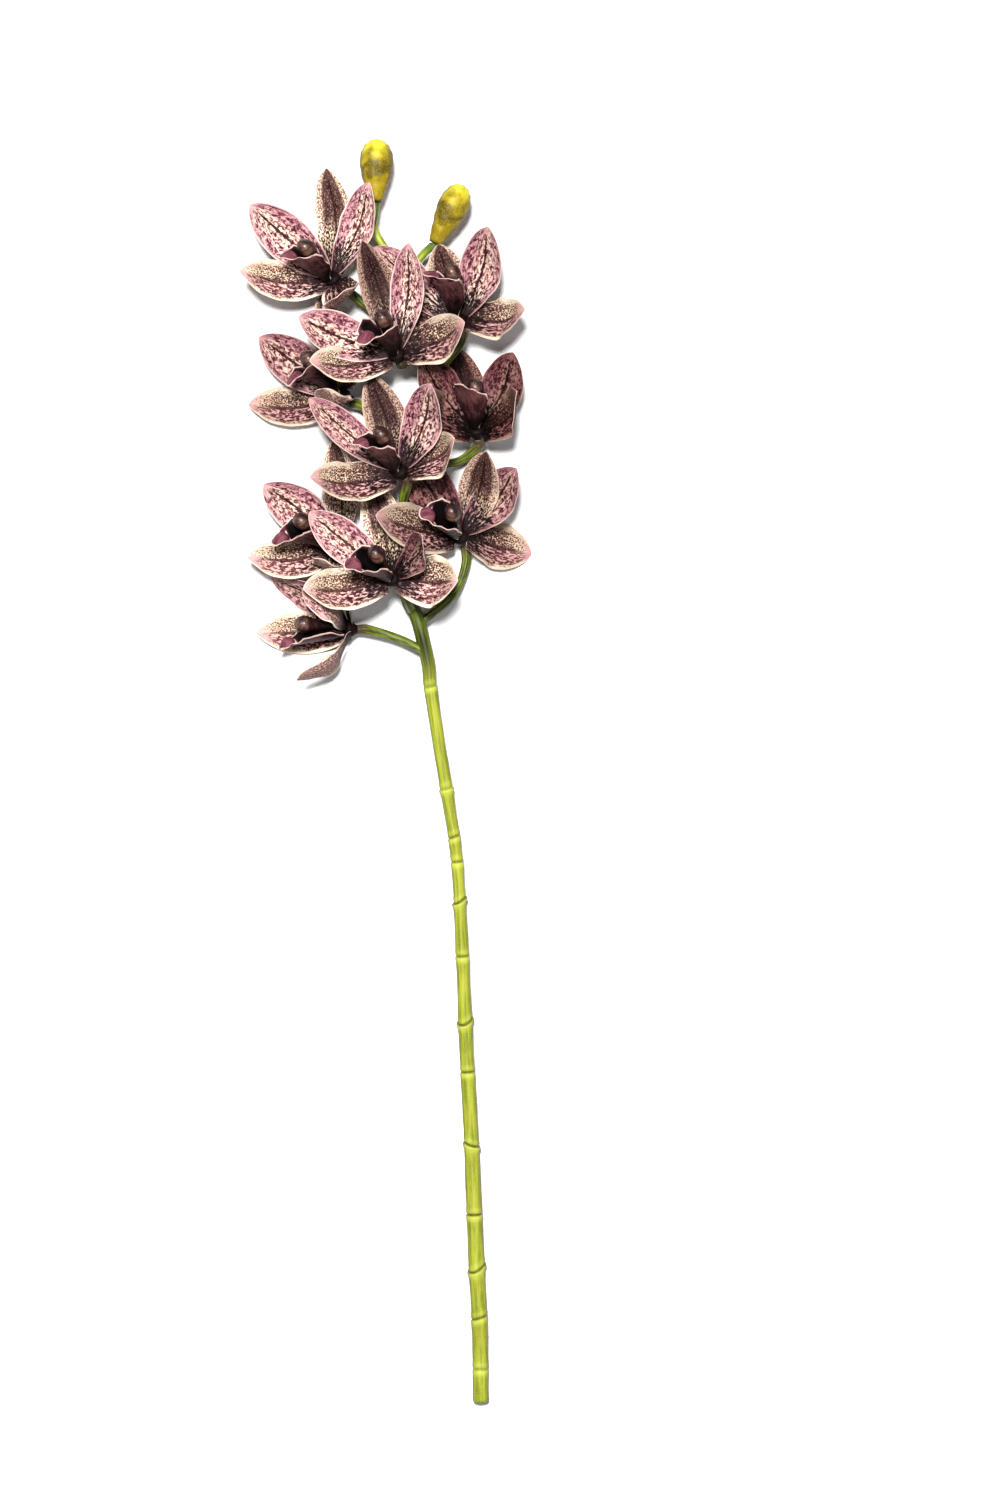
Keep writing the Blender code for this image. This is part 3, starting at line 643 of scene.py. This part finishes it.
def add_pedicel(piece, name, seed, finish):
    """The stalk that carries a bloom: ribbed, and wider under the boss."""
    bloom = BLOOMS[name]
    facing = bloom_frame(bloom)[0]
    end = vector(bloom["base"]) - facing * (HUB_BACK + GAP)
    points = [vector(point) for point in PEDICELS[name]]
    points += [end - facing * PEDICEL_AIM, end - facing * SEAT, end]
    path, places = even_path(smooth_path(points, 8), STALK_STEP)
    t = (places / places[-1])[:, None]
    angle = turn(ROD_SIDES)
    radius = ease(t, [(0.0, PEDICEL_RADIUS), (0.55, PEDICEL_RADIUS), (0.9, RECEPTACLE_RADIUS),
                      (1.0, RECEPTACLE_RADIUS * 0.85)])
    ribs = 0.16 * np.cos(6 * angle) * np.clip((t - 0.3) / 0.4, 0.0, 1.0)
    radius = radius + ribs
    place = triple(angle * 2.5, places[:, None], seed * 5.0)
    # Painted shade on the stalk's underside and lower flanks.
    under = 0.6 * np.clip((0.5 + np.cos(angle)) / 0.6, 0.0, 1.0)
    add_rod(piece, path, radius, place, triple(0.0, t, under), finish)


def add_stalk(piece, bud, seed, finish):
    """The stalk of a bud."""
    base = vector(bud["base"])
    along = unit(vector(bud["tip"]) - base)
    end = base - along * GAP * 1.5
    points = [vector(point) for point in bud["stalk"]] + [end - along * SEAT, end]
    path, places = even_path(smooth_path(points, 8), STALK_STEP)
    t = (places / places[-1])[:, None]
    angle = turn(ROD_SIDES)
    radius = STALK_RADIUS * (1.0 + 0.25 * np.clip((t - 0.8) / 0.2, 0.0, 1.0)) + 0.08 * np.cos(5 * angle)
    place = triple(angle * 2.0, places[:, None], seed * 5.0)
    dark = np.clip((t - 0.93) / 0.07, 0.0, 1.0)
    add_rod(piece, path, radius, place, triple(angle * 0.0, t * 0.3, dark), finish)


def add_bud(piece, bud, seed, finish):
    """A closed bud: an egg with a narrow foot, three soft ridges and a rounded point."""
    base = vector(bud["base"])
    tip = vector(bud["tip"])
    t = np.sin(np.linspace(0.0, 1.0, BUD_ROWS) * math.pi / 2)[:, None]
    path = base + (tip - base) * t
    angle = turn(BUD_SIDES)
    radius = bud["radius"] * ease(t, BUD_SHARES)
    ridge = 0.035 * np.cos(3 * angle + 0.4 + seed) * np.sin(math.pi * np.minimum(t * 1.1, 1.0))
    seam = bump(np.sin(1.5 * angle + 0.9 + seed), 0.0, 0.10)
    radius = radius * (1.0 + ridge - 0.02 * seam) - 0.12
    place = triple(angle * 9.0, t * np.linalg.norm(tip - base), seed * 11.0)
    # The first share says how far each point faces up; the bud's material lays painted shade below.
    share = triple(-np.cos(angle), t, seam)
    add_rod(piece, path, np.maximum(radius, 0.2), place, share, finish)


def srgb(*channels):
    """A linear colour from the 0 to 255 values of a screen colour."""
    values = [channel / 255.0 for channel in channels]
    bright = [((value + 0.055) / 1.055) ** 2.4 for value in values]
    linear = [high if value > 0.04045 else value / 12.92 for value, high in zip(values, bright)]
    return linear + [1.0]


class Recipe:
    """A procedural material, built node by node. A triple of numbers is a screen colour."""

    def __init__(self, name, roughness, shine=0.5):
        self.material = bpy.data.materials.new(name)
        self.material.use_nodes = True
        self.tree = self.material.node_tree
        self.shader = self.tree.nodes["Principled BSDF"]
        self.shader.inputs["Roughness"].default_value = roughness
        self.shader.inputs["Specular IOR Level"].default_value = shine
        self.colour = None

    def add(self, kind, **settings):
        node = self.tree.nodes.new(kind)
        for key, value in settings.items():
            setattr(node, key, value)
        return node

    def feed(self, socket, value):
        if isinstance(value, bpy.types.NodeSocket):
            self.tree.links.new(value, socket)
        elif isinstance(value, tuple):
            socket.default_value = srgb(*value)
        else:
            socket.default_value = value

    def shares(self):
        """The three values that a sheet or rod carries besides its place."""
        node = self.add("ShaderNodeSeparateXYZ")
        share = self.add("ShaderNodeAttribute", attribute_name="share")
        self.feed(node.inputs[0], share.outputs["Vector"])
        return node.outputs

    def math(self, operation, *values):
        node = self.add("ShaderNodeMath", operation=operation)
        for socket, value in zip(node.inputs, values):
            self.feed(socket, value)
        return node.outputs[0]

    def both(self, *values):
        """The product of several values."""
        result = values[0]
        for value in values[1:]:
            result = self.math("MULTIPLY", result, value)
        return result

    def either(self, *values):
        """The largest of several values."""
        result = values[0]
        for value in values[1:]:
            result = self.math("MAXIMUM", result, value)
        return result

    def plus(self, value, other, share):
        """A value with a share of another added to it."""
        return self.math("MULTIPLY_ADD", other, share, value)

    def span(self, value, low, high):
        """0 below low, 1 above high and smooth between; the other way round if low is above high."""
        node = self.add("ShaderNodeMapRange", interpolation_type="SMOOTHSTEP")
        self.feed(node.inputs["Value"], value)
        node.inputs["From Min"].default_value = min(low, high)
        node.inputs["From Max"].default_value = max(low, high)
        node.inputs["To Min"].default_value = 0.0 if low < high else 1.0
        node.inputs["To Max"].default_value = 1.0 if low < high else 0.0
        return node.outputs["Result"]

    def noise(self, across, along, detail=2.0, rough=0.5, twist=0.0):
        """Noise from 0 to 1 with its own scale across and along the piece, per millimetre."""
        place = self.add("ShaderNodeAttribute", attribute_name="place")
        scaled = self.add("ShaderNodeVectorMath", operation="MULTIPLY")
        self.feed(scaled.inputs[0], place.outputs["Vector"])
        scaled.inputs[1].default_value = (across, along, 1.0)
        node = self.add("ShaderNodeTexNoise")
        self.feed(node.inputs["Vector"], scaled.outputs[0])
        node.inputs["Scale"].default_value = 1.0
        node.inputs["Detail"].default_value = detail
        node.inputs["Roughness"].default_value = rough
        node.inputs["Distortion"].default_value = twist
        return node.outputs["Fac"]

    def lines(self, value, count, wander, width):
        """Thin lines at even steps of a value, with wander added: 1 on a line, 0 between lines."""
        turned = self.math("MULTIPLY_ADD", value, count * math.pi, wander)
        height = self.math("ABSOLUTE", self.math("SINE", turned))
        return self.span(height, width, 0.0)

    def blend(self, share, first, second, way="MIX"):
        """The first colour where the share is 0, and the second where it is 1."""
        node = self.add("ShaderNodeMix", data_type="RGBA", blend_type=way)
        self.feed(node.inputs[0], share)
        self.feed(node.inputs[6], first)
        self.feed(node.inputs[7], second)
        return node.outputs[2]

    def ground(self, share, first, second):
        """Starts the material's colour as a blend of two."""
        self.colour = self.blend(share, first, second)

    def paint(self, colour, *shares):
        """Lays a colour over what is there, as far as the product of the shares says."""
        self.colour = self.blend(self.both(*shares), self.colour, colour)

    def painted_shade(self):
        """Deepens the colour towards maroon by the blade's painted shade, for blades that lie in shade.
        """
        share = self.add("ShaderNodeAttribute", attribute_name="painted_shade").outputs["Fac"]
        self.colour = self.blend(share, self.colour, (104, 60, 64), "MULTIPLY")

    def finish(self, height=None, strength=0.3):
        self.feed(self.shader.inputs["Base Color"], self.colour)
        if height is not None:
            bump = self.add("ShaderNodeBump")
            bump.inputs["Strength"].default_value = strength
            bump.inputs["Distance"].default_value = RELIEF
            self.feed(bump.inputs["Height"], height)
            self.feed(self.shader.inputs["Normal"], bump.outputs[0])
        return self.material


def petal_face():
    """Inside of a petal: cream flecks by the midrib, maroon blotches all over and a mauve upper side."""
    recipe = Recipe("petal_face", 0.6, 0.08)
    across, along, lower = recipe.shares()
    out = recipe.math("ABSOLUTE", across)
    blotch = recipe.noise(0.60, 0.34, 3.0, 0.6, 0.8)
    stroke = recipe.noise(1.0, 0.16)
    grains = recipe.noise(1.5, 1.1)
    clouds = recipe.noise(0.20, 0.09)
    wide = recipe.plus(out, clouds, 0.5)
    recipe.ground(recipe.span(grains, 0.40, 0.60), (220, 174, 170), (190, 138, 140))
    recipe.paint((212, 172, 154), recipe.span(wide, 0.80, 0.45), recipe.span(along, 0.97, 0.80), 0.85)
    upward = recipe.plus(lower, clouds, 0.6)
    wash = recipe.both(recipe.span(upward, 0.35, -0.15), recipe.span(wide, 0.45, 0.75),
                       recipe.span(out, 1.0, 0.9))
    mauve = recipe.blend(recipe.span(stroke, 0.43, 0.57), (206, 152, 158), (138, 82, 94))
    recipe.paint(mauve, wash, 0.85)
    spread = recipe.both(recipe.span(out, 0.98, 0.84), recipe.span(along, 1.0, 0.88))
    unwashed = recipe.plus(1.0, wash, -0.7)
    flecks = recipe.both(recipe.span(blotch, 0.46, 0.42), recipe.span(wide, 1.15, 0.70), unwashed)
    recipe.paint((250, 228, 208), flecks, spread, 0.75)
    recipe.paint((98, 44, 54), recipe.span(blotch, 0.49, 0.53), spread, 0.88)
    recipe.paint((60, 18, 32), recipe.span(blotch, 0.58, 0.62), spread, 0.9)
    rib = recipe.math("DIVIDE", out, recipe.plus(-0.01, blotch, 0.16))
    recipe.paint((50, 14, 24), recipe.span(rib, 1.15, 0.75), recipe.span(along, 0.94, 0.84), 0.95)
    # The foot's own dark maroon is taken to near black here as painted shade at the bloom's middle.
    foot = recipe.span(recipe.plus(along, blotch, -1.0), -0.12, -0.32)
    recipe.paint((20, 7, 12), foot, recipe.span(out, 1.05, 0.75), 0.96)
    hem = recipe.span(recipe.plus(out, clouds, 0.06), 0.97, 1.01)
    recipe.paint((248, 222, 212), hem, recipe.span(along, 0.15, 0.3), 0.8)
    recipe.painted_shade()
    return recipe.finish(recipe.plus(grains, stroke, 0.8))


def lateral_face():
    """Inside of a side sepal: cream with fine brown dots above, plum blotches below and a cream rim."""
    recipe = Recipe("lateral_face", 0.6, 0.08)
    across, along, lower = recipe.shares()
    out = recipe.math("ABSOLUTE", across)
    blotch = recipe.noise(0.75, 0.34, 2.0, 0.5, 0.6)
    dots = recipe.noise(1.15, 0.85, 1.0)
    stroke = recipe.noise(1.0, 0.15)
    clouds = recipe.noise(0.16, 0.07)
    low = recipe.plus(recipe.math("SUBTRACT", lower, 0.22), stroke, 0.45)
    cream = recipe.blend(recipe.span(clouds, 0.40, 0.62), (240, 216, 184), (206, 174, 148))
    recipe.ground(recipe.span(recipe.plus(dots, along, -0.20), 0.34, 0.38), cream, (92, 58, 54))
    plum = recipe.blend(recipe.span(blotch, 0.46, 0.50), (226, 180, 172), (98, 44, 55))
    recipe.paint(plum, recipe.span(low, -0.10, 0.16), recipe.span(low, 0.86, 0.70), 0.9)
    streak = recipe.both(recipe.span(stroke, 0.53, 0.58), recipe.span(out, 0.9, 0.6))
    recipe.paint((50, 20, 26), streak, recipe.span(along, 0.95, 0.5), 0.8)
    recipe.paint((54, 20, 28), recipe.span(out, 0.10, 0.05), recipe.span(along, 0.92, 0.70), 0.85)
    recipe.paint((226, 176, 176), recipe.span(recipe.plus(along, clouds, 0.3), 0.96, 1.12), 0.7)
    shoulder = recipe.both(recipe.span(low, -0.66, -0.86), recipe.span(along, 0.3, 0.6), 0.7)
    hem = recipe.either(recipe.span(low, 0.80, 0.93), recipe.span(out, 0.96, 0.99), shoulder)
    recipe.paint((248, 228, 202), hem, recipe.span(along, 0.06, 0.16))
    # The foot's own dark colour is taken to near black here as painted shade at the bloom's middle.
    foot = recipe.span(recipe.plus(along, blotch, -1.0), -0.10, -0.38)
    recipe.paint((20, 7, 10), foot, recipe.span(lower, 0.99, 0.65), 0.96)
    recipe.painted_shade()
    return recipe.finish(recipe.plus(dots, stroke, 0.8))


def dorsal_face():
    """Inside of the top sepal: dark olive plum with fine dots, cream spots low down and a cream rim."""
    recipe = Recipe("dorsal_face", 0.6, 0.08)
    across, along, lower = recipe.shares()
    out = recipe.math("ABSOLUTE", across)
    dots = recipe.noise(1.05, 0.75, 1.0)
    blotch = recipe.noise(1.15, 0.60, 2.0, 0.5, 0.3)
    stroke = recipe.noise(0.9, 0.12)
    clouds = recipe.noise(0.16, 0.07)
    wide = recipe.plus(out, stroke, 0.5)
    plum = recipe.blend(recipe.span(clouds, 0.40, 0.60), (80, 52, 50), (46, 24, 27))
    recipe.ground(recipe.span(dots, 0.55, 0.61), plum, (138, 108, 94))
    spotted = recipe.blend(recipe.span(blotch, 0.44, 0.52), (214, 186, 156), (62, 32, 34))
    recipe.paint(spotted, recipe.span(recipe.plus(along, clouds, 0.25), 0.66, 0.48))
    rim = recipe.blend(recipe.span(dots, 0.47, 0.52), (244, 220, 192), (136, 92, 88))
    recipe.paint(rim, recipe.span(wide, 0.74, 0.92))
    recipe.paint((60, 34, 36), recipe.span(stroke, 0.54, 0.60), recipe.span(out, 0.9, 0.5), 0.6)
    recipe.paint((40, 18, 20), recipe.span(out, 0.08, 0.04), recipe.span(along, 0.95, 0.85), 0.85)
    margin = recipe.both(recipe.span(wide, 1.10, 1.22), recipe.span(lower, -0.2, 0.3))
    hem = recipe.either(margin, recipe.span(out, 0.95, 0.99))
    recipe.paint((246, 222, 192), hem, recipe.span(along, 0.15, 0.3))
    # Painted shade: the foot is taken to near black at the bloom's middle.
    recipe.paint((13, 4, 5), recipe.span(recipe.plus(along, blotch, -1.0), -0.12, -0.30), 0.98)
    recipe.painted_shade()
    return recipe.finish(recipe.plus(dots, stroke, 0.8))


def tepal_back():
    """Outside of a sepal or petal: grey brown with fine dots, stripes along it and a cream margin."""
    recipe = Recipe("tepal_back", 0.6, 0.08)
    across, along, _ = recipe.shares()
    out = recipe.math("ABSOLUTE", across)
    grains = recipe.noise(1.0, 0.55)
    stripes = recipe.lines(across, 5.0, recipe.both(recipe.noise(0.12, 0.05), 5.0), 0.6)
    recipe.ground(recipe.span(grains, 0.45, 0.52), (196, 162, 146), (112, 78, 78))
    recipe.paint((112, 88, 80), recipe.span(out, 0.55, 0.2), 0.6)
    recipe.paint((52, 30, 32), stripes, recipe.span(along, 1.0, 0.7), 0.8)
    recipe.paint((240, 220, 202), recipe.span(out, 0.84, 0.94))
    # Painted shade: near black towards the foot, where the blades meet the boss.
    recipe.paint((18, 8, 8), recipe.span(along, 0.45, 0.08))
    recipe.painted_shade()
    return recipe.finish(recipe.plus(grains, stripes, -0.5))


def rim_edge():
    """The thin pale edge of the blades."""
    recipe = Recipe("blade_edge", 0.6, 0.15)
    recipe.ground(recipe.span(recipe.noise(0.6, 0.3), 0.35, 0.65), (240, 216, 200), (206, 168, 160))
    return recipe.finish()


def lip_outside():
    """Outside of the lip: dark brown plum, painted near black at its foot as shade, with a pale line at
    the rim.
    """
    recipe = Recipe("lip_outside", 0.5, 0.12)
    across, along, rim = recipe.shares()
    out = recipe.math("ABSOLUTE", across)
    mottle = recipe.noise(0.35, 0.14, 3.0, 0.6, 0.6)
    veins = recipe.noise(1.1, 0.12)
    recipe.ground(recipe.span(mottle, 0.38, 0.66), (38, 17, 20), (84, 48, 50))
    recipe.paint((28, 11, 14), recipe.span(veins, 0.52, 0.62), 0.7)
    recipe.paint((120, 76, 76), recipe.span(along, 0.50, 0.68), 0.3)
    # Painted shade: near black towards the foot, where the lip sinks among the blades.
    recipe.paint((10, 3, 4), recipe.span(along, 0.48, 0.12))
    edge = recipe.either(recipe.span(out, 0.60, 0.68), recipe.span(along, 0.90, 0.96))
    recipe.paint((206, 170, 160), recipe.span(rim, 0.9, 0.5), edge)
    return recipe.finish(recipe.plus(mottle, veins, 0.6))


def lip_inside():
    """Inside of the lip: painted shade makes the cup near black; a plum end lobe and a pale line at the
    rim.
    """
    recipe = Recipe("lip_inside", 0.5, 0.1)
    _, along, rim = recipe.shares()
    mottle = recipe.noise(0.40, 0.25, 3.0, 0.6)
    # Painted shade: the cup's inside is made near black, as the shade within it.
    recipe.ground(recipe.span(mottle, 0.35, 0.65), (4, 1, 2), (11, 4, 5))
    recipe.paint((96, 54, 58), recipe.span(rim, 3.0, 0.5), 0.45)
    plum = recipe.blend(recipe.span(mottle, 0.38, 0.62), (84, 38, 50), (122, 68, 78))
    recipe.paint(plum, recipe.span(along, 0.70, 0.77))
    recipe.paint((226, 196, 186), recipe.span(rim, 0.9, 0.5))
    return recipe.finish(mottle, 0.2)


def lip_edge():
    """The pale waved rim line of the lip."""
    recipe = Recipe("lip_edge", 0.5, 0.2)
    recipe.ground(recipe.span(recipe.noise(0.5, 0.4), 0.3, 0.7), (230, 202, 192), (196, 160, 154))
    return recipe.finish()


def column_finish():
    """Waxy dark maroon; a tan flush on top of the anther cap, partly its own colour and partly a
    painted highlight; painted shade near black towards its foot.
    """
    recipe = Recipe("column_wax", 0.4, 0.35)
    recipe.shader.inputs["Coat Weight"].default_value = 0.15
    recipe.shader.inputs["Coat Roughness"].default_value = 0.2
    _, along, above = recipe.shares()
    mottle = recipe.noise(0.35, 0.35, 3.0)
    recipe.ground(recipe.span(mottle, 0.35, 0.65), (28, 11, 12), (48, 23, 23))
    tan = recipe.blend(recipe.span(mottle, 0.42, 0.62), (62, 38, 31), (104, 74, 60))
    # Tan on the upper side of the cap: partly the cap's own colour, partly a painted highlight.
    recipe.paint(tan, recipe.span(along, 0.82, 0.92), recipe.span(above, 0.62, 1.0))
    # Painted shade: near black towards the foot, down in the lip's cup.
    recipe.paint((14, 4, 5), recipe.span(along, 0.55, 0.2))
    return recipe.finish(mottle, 0.15)


def stem_green():
    """Yellow-green cane: painted highlight bands at the joints, dark grooves, painted shade on its
    flanks and underside, and painted shade among the blooms.
    """
    recipe = Recipe("stem_green", 0.5, 0.22)
    light, along, dark = recipe.shares()
    streaks = recipe.noise(0.55, 0.03, 3.0, 0.6)
    mottle = recipe.noise(0.12, 0.06)
    grains = recipe.noise(1.4, 1.1)
    recipe.ground(recipe.span(streaks, 0.35, 0.65), (110, 120, 20), (158, 166, 44))
    recipe.paint((160, 158, 48), recipe.span(mottle, 0.45, 0.70), 0.5)
    recipe.paint((206, 204, 96), recipe.span(grains, 0.55, 0.68), 0.25)
    # Painted shade: darker olive where the stem runs among the blooms.
    deep = recipe.blend(recipe.span(streaks, 0.38, 0.62), (26, 33, 4), (86, 99, 18))
    recipe.paint(deep, recipe.span(along, 0.595, 0.66))
    # Painted highlight: the light bands at the joints.
    recipe.paint((202, 210, 84), light, 0.6)
    # Dark grooves of the joints, and painted shade on the flanks and underside.
    recipe.paint((62, 58, 10), dark, 0.95)
    return recipe.finish(recipe.plus(grains, streaks, 0.6), 0.25)


def pedicel_green():
    """Olive green flower stalks, with painted shade below, that turn brown under the blooms."""
    recipe = Recipe("pedicel_green", 0.45, 0.35)
    _, along, dark = recipe.shares()
    streaks = recipe.noise(0.9, 0.08, 3.0, 0.6)
    recipe.ground(recipe.span(streaks, 0.38, 0.62), (42, 50, 8), (110, 122, 28))
    brown = recipe.blend(streaks, (46, 36, 22), (84, 66, 44))
    recipe.paint(brown, recipe.span(along, 0.72, 0.95))
    # Painted shade below.
    recipe.paint((16, 19, 3), dark, 0.95)
    return recipe.finish(streaks)


def stalk_green():
    """Bright green stalks of the buds, dark right under the bud."""
    recipe = Recipe("stalk_green", 0.42, 0.35)
    _, along, dark = recipe.shares()
    streaks = recipe.noise(0.9, 0.08, 3.0, 0.6)
    recipe.ground(recipe.span(streaks, 0.38, 0.62), (110, 126, 26), (160, 172, 60))
    recipe.paint((84, 106, 24), recipe.span(along, 0.16, 0.27))
    recipe.paint((34, 38, 8), dark, 0.95)
    return recipe.finish(streaks)


def bud_yellow():
    """A bud, bright yellow at both ends, with a mottled olive band round its middle."""
    recipe = Recipe("bud_yellow", 0.5, 0.2)
    near, along, seam = recipe.shares()
    streaks = recipe.noise(0.12, 0.08)
    mottle = recipe.noise(0.13, 0.12, 3.0)
    grains = recipe.noise(1.6, 1.2)
    height = recipe.plus(along, mottle, 0.8)
    recipe.ground(recipe.span(streaks, 0.35, 0.65), (128, 108, 10), (158, 136, 20))
    recipe.paint((74, 62, 8), recipe.span(height, 0.70, 0.88), recipe.span(height, 1.12, 0.92), 0.9)
    recipe.paint((196, 188, 44), recipe.span(height, 1.06, 1.32))
    recipe.paint((226, 214, 90), recipe.span(grains, 0.55, 0.68), 0.25)
    recipe.paint((112, 100, 22), seam, 0.15)
    # Painted shade: darker ochre on the underside and lower flanks.
    recipe.paint((88, 66, 4), recipe.span(near, 0.75, -0.1))
    recipe.paint((60, 56, 14), recipe.span(along, 0.05, 0.0))
    return recipe.finish(grains, 0.12)


def make_blooms():
    tepal_finishes = [petal_face(), lateral_face(), dorsal_face(), tepal_back(), rim_edge()]
    petal, lateral, dorsal, back, edge = range(5)
    faces = dict(zip(BLADE_FORMS, (dorsal, petal, petal, lateral, lateral)))
    lip_finishes = [lip_inside(), lip_outside(), lip_edge()]
    column_finishes = [column_finish()]
    for number, (name, bloom) in enumerate(BLOOMS.items()):
        seed = number * 5.0
        tepals = Piece(name + "_tepals_skin", name + "_tepals", "tepal", tepal_finishes)
        add_hub(tepals, bloom, seed, back)
        for place, kind in enumerate(BLADE_FORMS):
            add_blade(tepals, bloom, kind, seed + place, (faces[kind], back, edge))
        tepals.build()
        lip = Piece(name + "_lip_skin", name + "_lip", "lip", lip_finishes)
        add_lip(lip, bloom, seed, (0, 1, 2))
        lip.build()
        column = Piece(name + "_column_skin", name + "_column", "column", column_finishes)
        add_column(column, bloom, seed, 0)
        column.build()


def make_stem():
    stem = Piece("stem_skin", "stem", "stem", [stem_green(), pedicel_green(), stalk_green()])
    add_stem(stem, 0)
    for number, name in enumerate(BLOOMS):
        add_pedicel(stem, name, number, 1)
    for number, bud in enumerate(BUDS.values()):
        add_stalk(stem, bud, number + 20, 2)
    stem.build()


def make_buds():
    yellow = bud_yellow()
    for number, (name, bud) in enumerate(BUDS.items()):
        piece = Piece(name + "_skin", name, "bud", [yellow])
        add_bud(piece, bud, number * 1.3, 0)
        piece.build()


def make_floor():
    mesh = bpy.data.meshes.new("floor")
    ways = [(-1, -1), (1, -1), (1, 1), (-1, 1)]
    points = [(x * FLOOR_REACH, y * FLOOR_REACH, FLOOR_LEVEL) for x, y in ways]
    mesh.from_pydata(points, [], [(0, 1, 2, 3)])
    floor = bpy.data.objects.new("floor", mesh)
    bpy.context.scene.collection.objects.link(floor)
    recipe = Recipe("floor_paper", 0.9)
    recipe.colour = (252, 252, 252)
    mesh.materials.append(recipe.finish())


def add_light(name, place, size, power):
    data = bpy.data.lights.new(name, "AREA")
    data.shape = "DISK"
    data.size = size
    data.energy = power
    light = bpy.data.objects.new(name, data)
    light.location = place
    light.rotation_euler = (Vector(LIGHT_AIM) - Vector(place)).to_track_quat("-Z", "Y").to_euler()
    bpy.context.scene.collection.objects.link(light)


def make_world():
    """A faint even light on the object, and a pale plain backdrop where the room shows."""
    world = bpy.data.worlds.new("studio")
    bpy.context.scene.world = world
    world.use_nodes = True
    tree = world.node_tree
    faint = tree.nodes["Background"]
    faint.inputs["Color"].default_value = WHITE
    faint.inputs["Strength"].default_value = ROOM_LIGHT
    pale = tree.nodes.new("ShaderNodeBackground")
    pale.inputs["Color"].default_value = WHITE
    pale.inputs["Strength"].default_value = ROOM_PALENESS
    seen = tree.nodes.new("ShaderNodeLightPath")
    choice = tree.nodes.new("ShaderNodeMixShader")
    tree.links.new(seen.outputs["Is Camera Ray"], choice.inputs[0])
    tree.links.new(faint.outputs[0], choice.inputs[1])
    tree.links.new(pale.outputs[0], choice.inputs[2])
    tree.links.new(choice.outputs[0], tree.nodes["World Output"].inputs["Surface"])


def make_lights():
    add_light("key", (-0.15, 0.8, 3.3), size=0.6, power=215.0)
    add_light("fill", (0.5, -0.6, 2.8), size=1.6, power=16.0)
    bpy.context.scene.view_settings.view_transform = "Standard"


def make_camera():
    data = bpy.data.cameras.new("camera")
    data.sensor_fit = "VERTICAL"
    data.sensor_height = SENSOR
    data.lens = SENSOR * CAMERA_RISE / VIEW_HEIGHT
    data.clip_end = 20.0
    camera = bpy.data.objects.new("camera", data)
    x, y = VIEW_CENTRE
    camera.location = (np.array((x, y, VIEW_LEVEL + CAMERA_RISE)) - PLAN_CENTRE) * MM
    bpy.context.scene.collection.objects.link(camera)
    bpy.context.scene.camera = camera


def main():
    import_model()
    make_camera()
    make_world()
    make_lights()
    make_floor()
    make_blooms()
    make_stem()
    make_buds()
    bpy.context.view_layer.update()


main()
